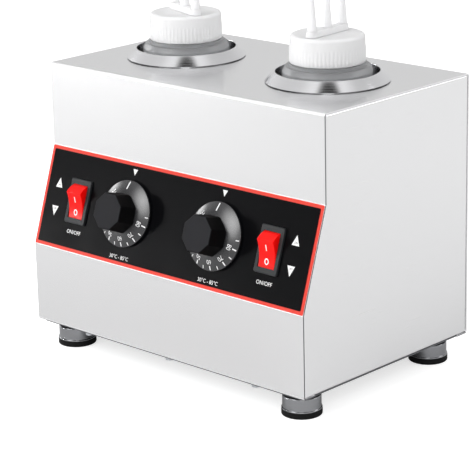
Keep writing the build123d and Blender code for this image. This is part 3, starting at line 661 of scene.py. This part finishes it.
@dataclass
class Dial:
    """A thermostat's knob: a conical skirt with a printed scale and an eight-sided grip.

    Attributes:
        side: Left or right.
        foot: Height of the skirt's underside above the sheet.
        skirt_radius: Of the skirt's rim.
        skirt_edge: Thickness of the rim.
        skirt_rise: Of the cone above the rim.
        skirt_round: Of the rim's upper edge.
        hub_radius: Of the bore for the spindle.
        grip_foot: Radius to the grip's corners at its foot.
        grip_face: The same at its face.
        grip_sides: Number of its flats.
        grip_edge: Width of the rounding on its edges.
        height: From the underside to the grip's face.
        ink: Thickness of the scale, which is sunk by as much again.
        tick_outer: Radius to the outer ends of the ticks.
        tick_lengths: Of a five's tick and a ten's.
        tick_widths: The same, across.
        digit_height: Of the numbers.
        digit_radius: Radius to their middle.
        off_mark: Inner and outer radius and width of the off line.
        first_angle: Of the highest reading, clockwise from the off line.
        angle_step: From one reading to the next.
        last_reading: The highest, in degrees Celsius.
        reading_step: From one reading to the next.
        reading_count: Number of readings.
        unit_angle: Of the unit, clockwise from the off line.
    """

    side: str
    foot: float = 1.35
    skirt_radius: float = 25.5
    skirt_edge: float = 1.8
    skirt_rise: float = 4.2
    skirt_round: float = 0.5
    hub_radius: float = 5.6
    grip_foot: float = 16.1
    grip_face: float = 14.7
    grip_sides: int = 8
    grip_edge: float = 0.9
    height: float = 21.0
    ink: float = 0.05
    tick_outer: float = 24.8
    tick_lengths: tuple[float, float] = (2.3, 3.0)
    tick_widths: tuple[float, float] = (0.7, 0.95)
    digit_height: float = 3.1
    digit_radius: float = 19.2
    off_mark: tuple[float, float, float] = (18.6, 24.4, 1.0)
    first_angle: float = 88.0
    angle_step: float = 16.9
    last_reading: int = 85
    reading_step: int = 5
    reading_count: int = 12
    unit_angle: float = 318.0

    def cone(self, radius: float) -> float:
        """Height of the skirt's cone at a radius."""
        share = (self.skirt_radius - radius) / (self.skirt_radius - self.grip_foot)
        return self.foot + self.skirt_edge + self.skirt_rise * share

    def on_cone(self, angle: float) -> Callable[[Vector], Vector]:
        """Gives the rule that lays flat marks on the cone.

        Args:
            angle: Clockwise from the top, in degrees.

        Returns:
            A rule from a point, whose y is the radius, to its place on the cone.
        """
        out = Vector((math.sin(math.radians(angle)), math.cos(math.radians(angle))))
        across = Vector((out.y, -out.x))

        def rule(point: Vector) -> Vector:
            flat = out * point.y + across * point.x
            return Vector((flat.x, flat.y, self.cone(flat.length) + point.z))

        return rule

    def bar(self, angle: float, inner: float, outer: float, width: float) -> bmesh.types.BMesh:
        """Makes one printed line of the scale."""
        outline = [(-width / 2, inner), (width / 2, inner), (width / 2, outer), (-width / 2, outer)]
        return moved(prism(outline, -self.ink, self.ink), self.on_cone(angle))

    def number(self, angle: float, text: str) -> bmesh.types.BMesh:
        """Makes one printed number of the scale, its foot towards the grip."""
        lift = Vector((0, self.digit_radius, 0))
        rule = self.on_cone(angle)
        return moved(lettering(text, self.digit_height, 2 * self.ink), lambda point: rule(point + lift))

    def build(self) -> None:
        """Builds the skirt, the grip and the scale."""
        origin, axis = joint(f"{self.side}_dial_turn")
        place = placement(origin, z_dir=-axis)
        body = f"{self.side}_dial"
        rim = self.foot + self.skirt_edge
        top = rim + self.skirt_rise
        profile = rounded([(self.hub_radius, self.foot), (self.skirt_radius, self.foot), (self.skirt_radius, rim),
                           (self.grip_foot, top), (self.hub_radius, top)],
                          {1: self.skirt_round / 2, 2: self.skirt_round})
        skirt = add_piece(f"{body}_skirt", lathe(profile), place, body, KNOB_GLOSS)
        corners = [math.tau * (i + 0.5) / self.grip_sides for i in range(self.grip_sides)]
        outline = [(self.grip_foot * math.cos(a), self.grip_foot * math.sin(a)) for a in corners]
        grip = add_piece(f"{body}_grip", prism(outline, rim, self.foot + self.height,
                                               1 - self.grip_face / self.grip_foot),
                         place, body, KNOB_SHADED_FLATS, bevel=self.grip_edge)
        grip.data.materials.append(KNOB_MATT.material())
        # The flats take the darker copy, painted shade; the face that looks out along the axis takes the grained
        # copy.
        for face in grip.data.polygons:
            face.material_index = int(face.normal.dot(-axis) > 0.9)
        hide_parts(f"{self.side}_knob")
        marks = [self.bar(0, self.off_mark[0], self.off_mark[1], self.off_mark[2])]
        for i in range(self.reading_count):
            reading = self.last_reading - i * self.reading_step
            angle = self.first_angle + i * self.angle_step
            ten = reading % 10 == 0
            marks.append(self.bar(angle, self.tick_outer - self.tick_lengths[ten], self.tick_outer,
                                  self.tick_widths[ten]))
            if ten:
                marks.append(self.number(angle, str(reading)))
        marks.append(self.number(self.unit_angle, "°C"))
        add_piece(f"{body}_scale", joined(marks), place, body, WHITE_INK)
        dress(f"{self.side}_spindle", ZINC)


@dataclass
class RockerSwitch:
    """A lit rocker in its moulded housing.

    Attributes:
        side: Left or right.
        width: Of the rocker.
        radius: Of the rocker's ends about its pivot.
        face_angle: Of the face's two edges above the pivot, at mid swing.
        swing: Between off and on.
        hollow: Depth of the dished face.
        root: Of the rocker behind its pivot.
        edge: Width of the rounding on its edges.
        ink: Thickness of the two marks, which are sunk by as much again.
        line_level: Of the line's middle, up the face from its middle.
        ring_level: The same for the ring.
        mark_height: Of both marks.
        ring_width: Of the ring.
        stroke: Width of their lines.
    """

    side: str
    width: float = 15.4
    radius: float = 14.6
    face_angle: float = 45.8
    swing: float = 40.0
    hollow: float = 1.6
    root: float = 2.6
    edge: float = 0.45
    ink: float = 0.05
    line_level: float = 4.6
    ring_level: float = -5.6
    mark_height: float = 4.7
    ring_width: float = 4.0
    stroke: float = 0.85

    def face_height(self, p: float) -> float:
        """Height of the dished face above the pivot, at p along it."""
        rise = self.radius * math.sin(math.radians(self.face_angle))
        half = self.radius * math.cos(math.radians(self.face_angle))
        dish = (half**2 + self.hollow**2) / (2 * self.hollow)
        return rise + dish - self.hollow - math.sqrt(dish**2 - p**2)

    def outline(self, steps: int = 14) -> list[Point]:
        """Gives the rocker's side view: the dished face, then one end, the root and the other end."""
        half = self.radius * math.cos(math.radians(self.face_angle))
        face = [(half * (1 - 2 * i / steps), self.face_height(half * (1 - 2 * i / steps))) for i in range(steps + 1)]
        low = math.asin(-self.root / self.radius)
        high = math.radians(self.face_angle)
        ends = [high + (low - high) * i / 8 for i in range(1, 9)]
        left = [(-self.radius * math.cos(a), self.radius * math.sin(a)) for a in ends]
        right = [(self.radius * math.cos(a), self.radius * math.sin(a)) for a in reversed(ends)]
        return face + left + right

    def build(self) -> None:
        """Builds the rocker and its two marks, and dresses the housing."""
        dress(f"{self.side}_switch_housing", HOUSING)
        origin, axis = joint(f"{self.side}_rocker_swing")
        _, dial_axis = joint(f"{self.side}_dial_turn")
        tilt = Matrix.Rotation(math.radians(self.swing / 2), 3, "X")
        outward = tilt @ -dial_axis
        body = f"{self.side}_rocker_body"
        # Local x runs up the rocker's face, local y out of it and local z across it.
        place = placement(origin, x_dir=outward.cross(-axis), z_dir=-axis)
        block = prism(self.outline(), -self.width / 2, self.width / 2)
        rocker = add_piece(f"{self.side}_rocker_cap", block, place, body, ROCKER_RED, bevel=self.edge, crease=40)
        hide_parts(f"{self.side}_rocker")
        tall, wide, pen = self.mark_height / 2, self.ring_width / 2, self.stroke / 2
        line = prism([(-pen, -tall), (pen, -tall), (pen, tall), (-pen, tall)], -self.ink, self.ink)
        ring = bmesh.new()
        steps = 40
        loops = []
        for shrink, level in ((0, -self.ink), (0, self.ink), (self.stroke, self.ink), (self.stroke, -self.ink)):
            loops.append([ring.verts.new(((wide - shrink) * math.cos(math.tau * i / steps),
                                          (tall - shrink) * math.sin(math.tau * i / steps), level))
                          for i in range(steps)])
        for near, far in zip(loops, loops[1:] + loops[:1]):
            for i in range(steps):
                j = (i + 1) % steps
                ring.faces.new((near[i], near[j], far[j], far[i]))
        marks = []
        for mark, level in ((line, self.line_level), (ring, self.ring_level)):
            marks.append(moved(mark, lambda point, level=level: Vector((
                point.y + level, self.face_height(point.y + level) + point.z, point.x))))
        add_piece(f"{self.side}_rocker_marks", joined(marks), place, body, WHITE_INK)


@dataclass
class Well:
    """A spun well: a deep cup whose mouth is rolled out to a conical collar.

    Attributes:
        side: Left or right.
        wall: Thickness of the metal.
        lip_width: Of the flat lip round the mouth.
        lip_height: Of the lip above the top sheet.
        edge_rise: Of the collar's edge above the top sheet, a gap that reads as a dark line.
        bore: Inner radius.
        floor_round: Of the corner between wall and floor.
        lip_round: Of the lip's two corners.
        stud_radius: Of the stud under the floor.
        stud_length: The same.
        edge_width: Thickness of the collar's edge.
        throat: Heights under the lip between which the metal turns out to the collar.
    """

    side: str
    wall: float = 0.8
    lip_width: float = 1.4
    lip_height: float = 7.8
    edge_rise: float = 0.75
    bore: float = 38.5
    floor_round: float = 6.0
    lip_round: float = 0.45
    stud_radius: float = 4.0
    stud_length: float = 13.0
    edge_width: float = 1.0
    throat: tuple[float, float] = (1.6, 2.2)

    def build(self) -> None:
        """Builds the well in one turning, with its stud."""
        low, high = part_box(f"{self.side}_well")
        middle = (low + high) / 2
        top = high.z / MM
        reach = (high.x - low.x) / 2 / MM
        floor = low.z / MM + self.stud_length
        edge = top - self.lip_height + self.edge_rise
        inner = [(0, floor + self.wall), (self.bore, floor + self.wall), (self.bore, top),
                 (self.bore + self.lip_width, top), (reach, edge)]
        skin = self.bore + self.wall
        outer = [(reach - self.edge_width, edge), (skin + 0.2, top - self.throat[0]),
                 (skin, top - self.throat[1]), (skin, floor), (self.stud_radius, floor),
                 (self.stud_radius, floor - self.stud_length), (0, floor - self.stud_length)]
        profile = rounded(inner + outer, {1: self.floor_round, 2: self.lip_round, 3: self.lip_round,
                                          8: self.floor_round + self.wall})
        add_piece(f"{self.side}_well_spun", lathe(profile, 180), placement(Vector((middle.x, middle.y, 0))),
                  "case", SPUN, replaces=[f"{self.side}_well"])


@dataclass
class SqueezeBottle:
    """A blown bottle: straight wall, small shoulder, a bead and a plain neck.

    Attributes:
        side: Left or right.
        wall: Thickness of the plastic.
        foot_round: Of the corner between wall and floor.
        shoulder: Height of the shoulder over the straight wall.
        bead_radius: Of the bead that the cap comes down to.
        bead_height: Of the same.
        neck_radius: Of the neck above it.
        body_height: From the foot to the shoulder.
    """

    side: str
    wall: float = 1.3
    foot_round: float = 4.0
    shoulder: float = 4.0
    bead_radius: float = 29.0
    bead_height: float = 2.2
    neck_radius: float = 25.9
    body_height: float = 196.4

    def build(self) -> None:
        """Builds the bottle's skin, inside and out."""
        low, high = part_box(f"{self.side}_bottle")
        middle = (low + high) / 2
        foot, neck_top, radius = low.z / MM, high.z / MM, (high.x - low.x) / 2 / MM
        shoulder = foot + self.body_height
        bead = shoulder + self.shoulder
        outer = [(0, foot), (radius, foot), (radius, shoulder), (radius - self.shoulder / 2, bead),
                 (self.bead_radius, bead), (self.bead_radius, bead + self.bead_height),
                 (self.neck_radius, bead + self.bead_height), (self.neck_radius, neck_top)]
        inner = [(self.neck_radius - self.wall, neck_top), (self.neck_radius - self.wall, bead - self.wall),
                 (radius - self.wall - 1.0, shoulder), (radius - self.wall, shoulder - 2.0),
                 (radius - self.wall, foot + self.wall), (0, foot + self.wall)]
        profile = rounded(outer + inner, {1: self.foot_round, 2: 1.6, 3: 0.8, 4: 0.4, 5: 0.7, 6: 0.4,
                                          12: self.foot_round - self.wall})
        add_piece(f"{self.side}_bottle_blown", lathe(profile), placement(Vector((middle.x, middle.y, 0))),
                  f"{self.side}_bottle_body", BOTTLE_PE, replaces=[f"{self.side}_bottle"])


@dataclass
class NozzleCap:
    """A moulded screw cap: ribbed skirt, flat top and three tapered nozzles on a raised strip.

    Attributes:
        side: Left or right.
        row_angle: Where the row of nozzles points, in degrees from +X.
        radius: Of the skirt at its foot.
        draft: By how much the skirt narrows towards its top.
        height: Of the skirt.
        wall: Thickness of the skirt.
        top: Thickness of the top.
        edge: Rounding between skirt and top.
        rim: Width of the raised rim round the top.
        dip: Of the top inside its rim.
        ribs: Number of ribs round the skirt.
        rib_height: How far they stand out.
        rib_share: Of the skirt's height that they take up.
        rib_fade: Height over which they run out.
        nozzle_spacing: Between the nozzles' middles.
        nozzle_foot: Radius of a nozzle at its foot.
        nozzle_tip: The same at its tip.
        nozzle_bore: Radius of its bore.
        nozzle_length: From the strip to the tip.
        bore_depth: Of the bore that shows from above.
        strip_height: Of the raised strip above the top.
        strip_radius: Half the strip's width at its foot.
        strip_top: The same at its top.
    """

    side: str
    row_angle: float
    radius: float = 27.9
    draft: float = 0.2
    height: float = 20.5
    wall: float = 1.4
    top: float = 1.5
    edge: float = 2.5
    rim: float = 2.6
    dip: float = 0.35
    ribs: int = 60
    rib_height: float = 0.3
    rib_share: float = 0.6
    rib_fade: float = 1.2
    nozzle_spacing: float = 18.0
    nozzle_foot: float = 3.6
    nozzle_tip: float = 1.2
    nozzle_bore: float = 0.8
    nozzle_length: float = 31.5
    bore_depth: float = 6.0
    strip_height: float = 4.5
    strip_radius: float = 4.6
    strip_top: float = 4.0

    def build(self) -> None:
        """Builds the skirt, the strip and the nozzles."""
        low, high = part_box(f"{self.side}_cap")
        middle = (low + high) / 2
        foot = low.z / MM
        flat = foot + self.height
        body = f"{self.side}_cap_body"
        rib_end = foot + self.height * self.rib_share
        place = placement(Vector((middle.x, middle.y, 0)))

        def ribbed(radius: float, height: float, angle: float) -> float:
            """Gives the skirt's radius at an angle, ribs included.

            Args:
                radius: Of the plain skirt.
                height: Where on the skirt.
                angle: Round the axis, in radians.

            Returns:
                The radius with the rib on it.
            """
            if radius < self.radius - self.wall / 2 or height > rib_end + 0.01:
                return radius
            fade = min(1.0, (rib_end - height) / self.rib_fade)
            wave = max(0.0, math.cos(angle * self.ribs)) ** 0.5
            return radius + self.rib_height * wave * fade

        levels = [foot + 0.5, foot + 4.0, rib_end - 4.0, rib_end - self.rib_fade, rib_end - self.rib_fade / 2,
                  rib_end, flat]
        outer = [(self.radius - self.draft * (level - foot) / self.height, level) for level in levels]
        profile = [(self.radius - self.wall, foot), (self.radius - 0.4, foot)] + outer + [
            (self.radius - self.rim - 0.6, flat), (self.radius - self.rim - 1.4, flat - self.dip),
            (0, flat - self.dip), (0, flat - self.top), (self.radius - self.wall, flat - self.top)]
        corner = len(outer) + 1
        shell = lathe(rounded(profile, {corner: self.edge}), self.ribs * 6, ribbed)
        cap = add_piece(f"{self.side}_cap_moulded", shell, place, body, CAP_PE, crease=50)
        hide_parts(f"{self.side}_cap")
        turn = math.radians(self.row_angle)
        row = placement(Vector((middle.x, middle.y, 0)), x_dir=Vector((math.cos(turn), math.sin(turn), 0)))
        half, wide = self.nozzle_spacing, self.strip_radius
        ends = [math.pi * i / 16 for i in range(17)]
        outline = [(half + wide * math.sin(a), -wide * math.cos(a)) for a in ends]
        outline += [(-half - wide * math.sin(a), wide * math.cos(a)) for a in ends]
        strip = prism(outline, flat - self.dip, flat + self.strip_height, 0.0)
        moved(strip, lambda point: Vector((
            point.x, point.y * (self.strip_top / wide if point.z > flat else 1), point.z)))
        add_piece(f"{self.side}_cap_strip", strip, row, body, CAP_PE, bevel=0.6)
        base = flat + self.strip_height
        tip = base + self.nozzle_length
        bore_end = tip - self.bore_depth
        bore = [(self.nozzle_bore, tip), (self.nozzle_bore, bore_end), (0, bore_end)]
        profile = rounded([(0, base - 0.5), (self.nozzle_foot + 0.5, base - 0.5), (self.nozzle_foot, base + 0.4),
                           (self.nozzle_tip, tip)] + bore, {3: 0.25})
        nozzles = []
        for i in (-1, 0, 1):
            shift = Vector((i * self.nozzle_spacing, 0, 0))
            nozzles.append(moved(lathe(profile, 40), lambda point, shift=shift: point + shift))
        add_piece(f"{self.side}_cap_nozzles", joined(nozzles), row, body, CAP_PE)
        dress(f"{self.side}_cap_seal", SILICONE)


@dataclass
class LevellingFoot:
    """A drawn steel shell on a stud, over a rubber pad.

    Attributes:
        place: Which corner of the case it stands under.
        stud_radius: Of the stud that screws into the base plate.
        shell_radius: Of the drawn shell.
        shell_height: Of the same.
        lip_radius: Of the shell's turned-out lip.
        wall: Thickness of the shell and the lip.
        pad_gap: Between the shell and the pad's plug, on its side.
        pad_seat: Between the lip and the pad.
        pad_crown: Between the plug and the shell's crown.
    """

    place: str
    stud_radius: float = 3.9
    shell_radius: float = 14.2
    shell_height: float = 10.8
    lip_radius: float = 14.9
    wall: float = 1.2
    pad_gap: float = 0.3
    pad_seat: float = 0.02
    pad_crown: float = 0.1

    def build(self) -> None:
        """Builds the shell with its stud, and the pad."""
        low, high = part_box(f"{self.place}_foot")
        middle = (low + high) / 2
        place = placement(Vector((middle.x, middle.y, 0)))
        body = f"{self.place}_foot_body"
        foot, stud_top = low.z / MM, high.z / MM
        top = foot + self.shell_height
        profile = rounded([(0, stud_top), (self.stud_radius, stud_top), (self.stud_radius, top),
                           (self.shell_radius, top), (self.shell_radius, foot + self.wall),
                           (self.lip_radius, foot + self.wall), (self.lip_radius, foot),
                           (self.shell_radius - self.wall, foot),
                           (self.shell_radius - self.wall, top - self.wall), (0, top - self.wall)],
                          {1: 0.6, 3: self.wall, 4: 0.3, 5: 0.5, 6: 0.4})
        # The shell's darker stainless is painted shade for its place under the case.
        add_piece(f"{self.place}_foot_shell", lathe(profile, 96), place, body, FOOT_STEEL_SHADED,
                  replaces=[f"{self.place}_foot"])
        pad_low, pad_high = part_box(f"{self.place}_foot_pad")
        pad_radius = (pad_high.x - pad_low.x) / 2 / MM
        plug = self.shell_radius - self.wall - self.pad_gap
        seat = foot - self.pad_seat
        crown = top - self.wall - self.pad_crown
        profile = rounded([(0, pad_low.z / MM), (pad_radius, pad_low.z / MM), (pad_radius, seat),
                           (plug, seat), (plug, crown), (0, crown)], {1: 0.8, 2: 0.4})
        add_piece(f"{self.place}_foot_tread", lathe(profile, 96), place, body, RUBBER,
                  replaces=[f"{self.place}_foot_pad"])


@dataclass
class Works:
    """What is inside and underneath the case, and the cord's gland at the back.

    Attributes:
        finishes: Of each node that comes once.
        paired: Of each node that comes once a side, by its name without the side.
    """

    finishes: Mapping[str, Finish] = field(default_factory=lambda: {
        "switch_terminals": BRASS, "thermostat_screws": ZINC, "heater_clamp_bolts": ZINC, "bulb_clips": ZINC,
        "thermal_cutouts": PHENOLIC, "well_nuts": ZINC, "foot_washers": RUBBER, "foot_nuts": ZINC,
        "cable_gland": NYLON, "gland_nut": NYLON, "gland_locknut": NYLON, "terminal_block": CERAMIC,
        "terminal_screws": BRASS, "earth_stud": BRASS})
    paired: Mapping[str, Finish] = field(default_factory=lambda: {
        "thermostat": ZINC, "heater_band": SHEATH, "lagging": BLANKET, "capillary": COPPER})

    def build(self) -> None:
        """Dresses every inner node."""
        for node, finish in self.finishes.items():
            dress(node, finish)
        for side in SIDES:
            for part, finish in self.paired.items():
                dress(f"{side}_{part}", finish)


@dataclass
class Studio:
    """Pale floor, soft lights and the camera.

    Attributes:
        camera_place: In metres.
        azimuth: Of the camera round the object, in degrees from -Y towards +X.
        elevation: Of the line of sight, in degrees.
        roll: Clockwise turn of the picture, in degrees.
        lens: Focal length for a 36 mm sensor.
        floor_size: Edge of the square floor, in metres.
        floor_colour: Of its paint.
        floor_lift: White added where the camera sees the floor, so that only the shadow is darker.
        floor_gleam: White added where metal mirrors the floor, far from the object.
        floor_dim: Distances from the middle between which that gleam grows, in metres.
        horizon: Strength of the room's walls.
        zenith: Of its ceiling.
        ambient: Of the room as a light on dull surfaces.
        back_level: Of the wall behind the object, as a share of the others.
        cards: Light and dark cards hung in the room: direction, the angles where a card is full and where it
            ends, and its share of the wall's strength.
        target: Point that the lamps face, in metres.
        lamps: Name, place, width and height in metres, power in watts and opening angle in degrees.
    """

    camera_place: tuple[float, float, float] = (1.0443, -1.1092, 0.5527)
    azimuth: float = 43.63
    elevation: float = 16.76
    roll: float = -1.35
    lens: float = 158.4
    floor_size: float = 6.0
    floor_colour: str = "#d8d8d8"
    floor_lift: float = 0.66
    floor_gleam: float = 0.14
    floor_dim: tuple[float, float] = (0.2, 0.8)
    horizon: float = 1.0
    zenith: float = 0.85
    ambient: float = 0.85
    back_level: float = 0.86
    cards: tuple[tuple[tuple[float, float, float], float, float, float], ...] = (
        ((0.314, -0.332, 0.89), 16.0, 42.0, 1.35),
        ((0.314, -0.332, 0.89), 12.0, 20.0, 0.03),
        ((-0.657, -0.731, 0.183), 16.0, 36.0, 0.28))
    target: tuple[float, float, float] = (0.0, 0.0, 0.12)
    lamps: tuple[tuple[str, tuple[float, float, float], tuple[float, float], float, float], ...] = (
        ("key_softbox", (-1.54, -1.43, 0.22), (0.2, 0.2), 0.55, 50.0),
        ("strip_softbox", (-0.35, -1.7, 1.4), (1.4, 1.4), 3.6, 60.0),
        ("left_softbox", (-2.2, -0.2, 0.75), (0.8, 0.5), 0.8, 60.0),
        ("back_softbox", (1.6, 1.5, 1.5), (1.0, 1.0), 12.0, 180.0),
        ("fill_softbox", (1.4, -1.6, 1.0), (0.9, 0.9), 1.1, 60.0))

    def camera(self) -> None:
        """Places the camera."""
        across, up = math.radians(self.azimuth), math.radians(self.elevation)
        back = Vector((math.sin(across) * math.cos(up), -math.cos(across) * math.cos(up), math.sin(up)))
        right = (-back).cross(Vector((0, 0, 1))).normalized()
        above = back.cross(right)
        roll = math.radians(self.roll)
        x_dir = right * math.cos(roll) + above * math.sin(roll)
        data = bpy.data.cameras.new("camera")
        data.lens = self.lens
        data.sensor_width = 36.0
        camera = bpy.data.objects.new("camera", data)
        bpy.context.scene.collection.objects.link(camera)
        turn = Matrix((x_dir, back.cross(x_dir), back)).transposed().to_4x4()
        camera.matrix_world = Matrix.Translation(Vector(self.camera_place)) @ turn
        bpy.context.scene.camera = camera

    def softbox(self, name: str, place: tuple[float, float, float], size: tuple[float, float],
                power: float, spread: float) -> None:
        """Hangs an area light with a grid on it, so that it lights the object and little of the floor.

        Args:
            name: Name of the lamp.
            place: In metres.
            size: Width and height, in metres.
            power: In watts.
            spread: Opening angle of the grid, in degrees.
        """
        data = bpy.data.lights.new(name, "AREA")
        data.spread = math.radians(spread)
        data.shape = "RECTANGLE"
        data.size, data.size_y = size
        data.energy = power
        lamp = bpy.data.objects.new(name, data)
        bpy.context.scene.collection.objects.link(lamp)
        lamp.matrix_world = (Matrix.Translation(Vector(place))
                             @ (Vector(place) - Vector(self.target)).to_track_quat("Z", "Y").to_matrix().to_4x4())

    def world(self) -> None:
        """Makes the room: pale walls with light and dark cards hung in them, white behind the object."""
        world = bpy.data.worlds.new("studio")
        bpy.context.scene.world = world
        world.use_nodes = True
        tree = world.node_tree
        tree.nodes.clear()
        direction = add_node(tree, "ShaderNodeTexCoord").outputs["Generated"]
        parts = add_node(tree, "ShaderNodeSeparateXYZ", links={0: direction})
        level = add_node(tree, "ShaderNodeMapRange", {
            "interpolation_type": "SMOOTHSTEP", "From Min": 0.25, "From Max": 0.75, "To Min": self.horizon,
            "To Max": self.zenith}, {"Value": parts.outputs["Z"]})
        behind = add_node(tree, "ShaderNodeMapRange", {
            "interpolation_type": "SMOOTHSTEP", "From Min": 0.0, "From Max": 0.6, "To Min": 1.0,
            "To Max": self.back_level}, {"Value": parts.outputs["Y"]})
        shown = add_node(tree, "ShaderNodeMath", {"operation": "MULTIPLY"}, {
            0: level.outputs[0], 1: behind.outputs[0]})
        for towards, *reach, share in self.cards:
            near = add_node(tree, "ShaderNodeVectorMath", {
                "operation": "DOT_PRODUCT", 1: Vector(towards).normalized()}, {0: direction})
            inner, outer = (math.cos(math.radians(angle)) for angle in reach)
            card = add_node(tree, "ShaderNodeMapRange", {
                "interpolation_type": "SMOOTHSTEP", "From Min": outer, "From Max": inner, "To Min": 1.0,
                "To Max": share}, {"Value": near.outputs["Value"]})
            shown = add_node(tree, "ShaderNodeMath", {"operation": "MULTIPLY"}, {
                0: shown.outputs[0], 1: card.outputs[0]})
        path = add_node(tree, "ShaderNodeLightPath")
        dimmed = add_node(tree, "ShaderNodeMix", {"data_type": "FLOAT", 3: self.ambient}, {
            0: path.outputs["Is Diffuse Ray"], 2: shown.outputs[0]})
        seen = add_node(tree, "ShaderNodeMix", {"data_type": "FLOAT", 3: 1.0},
                        {0: path.outputs["Is Camera Ray"], 2: dimmed.outputs[0]})
        sky = add_node(tree, "ShaderNodeBackground", links={"Strength": seen.outputs[0]})
        add_node(tree, "ShaderNodeOutputWorld", links={"Surface": sky.outputs[0]})

    def floor(self) -> None:
        """Lays the pale floor, which keeps the object's shadow and shows white in metal."""
        mesh = bmesh.new()
        half = self.floor_size / 2
        mesh.faces.new([mesh.verts.new((x * half, y * half, 0)) for x, y in ((-1, -1), (1, -1), (1, 1), (-1, 1))])
        data = bpy.data.meshes.new("floor")
        mesh.to_mesh(data)
        mesh.free()
        floor = bpy.data.objects.new("floor", data)
        bpy.context.scene.collection.objects.link(floor)
        made = bpy.data.materials.new("painted_floor")
        made.use_nodes = True
        tree = made.node_tree
        tree.nodes.clear()
        paint = add_node(tree, "ShaderNodeBsdfDiffuse", {"Color": linear(self.floor_colour)})
        place = add_node(tree, "ShaderNodeTexCoord").outputs["Object"]
        away = add_node(tree, "ShaderNodeVectorMath", {"operation": "LENGTH"}, {0: place})
        gleam = add_node(tree, "ShaderNodeMapRange", {
            "From Min": self.floor_dim[0], "From Max": self.floor_dim[1], "To Min": 0.0,
            "To Max": self.floor_gleam}, {"Value": away.outputs["Value"]})
        path = add_node(tree, "ShaderNodeLightPath")
        seen = add_node(tree, "ShaderNodeMath", {"operation": "MULTIPLY", 1: self.floor_lift},
                        {0: path.outputs["Is Camera Ray"]})
        mirrored = add_node(tree, "ShaderNodeMath", {"operation": "MULTIPLY_ADD"}, {
            0: path.outputs["Is Glossy Ray"], 1: gleam.outputs[0], 2: seen.outputs[0]})
        lift = add_node(tree, "ShaderNodeEmission", links={"Strength": mirrored.outputs[0]})
        both = add_node(tree, "ShaderNodeAddShader", links={0: paint.outputs[0], 1: lift.outputs[0]})
        add_node(tree, "ShaderNodeOutputMaterial", links={"Surface": both.outputs[0]})
        data.materials.append(made)

    def build(self) -> None:
        """Sets up the whole studio."""
        bpy.context.scene.view_settings.view_transform = "Standard"
        self.world()
        self.floor()
        for lamp in self.lamps:
            self.softbox(*lamp)
        self.camera()


def main() -> None:
    """Builds the studio and every sub-assembly."""
    logging.basicConfig(level=logging.INFO, format="%(message)s")
    Studio().build()
    Case().build()
    ControlPanel().build()
    for side in SIDES:
        Dial(side).build()
        RockerSwitch(side).build()
        Well(side).build()
        SqueezeBottle(side).build()
    NozzleCap("left", row_angle=-19.0).build()
    NozzleCap("right", row_angle=-87.0).build()
    for place in ("left_front", "left_rear", "right_front", "right_rear"):
        LevellingFoot(place).build()
    Works().build()


if __name__ == "__main__":
    main()
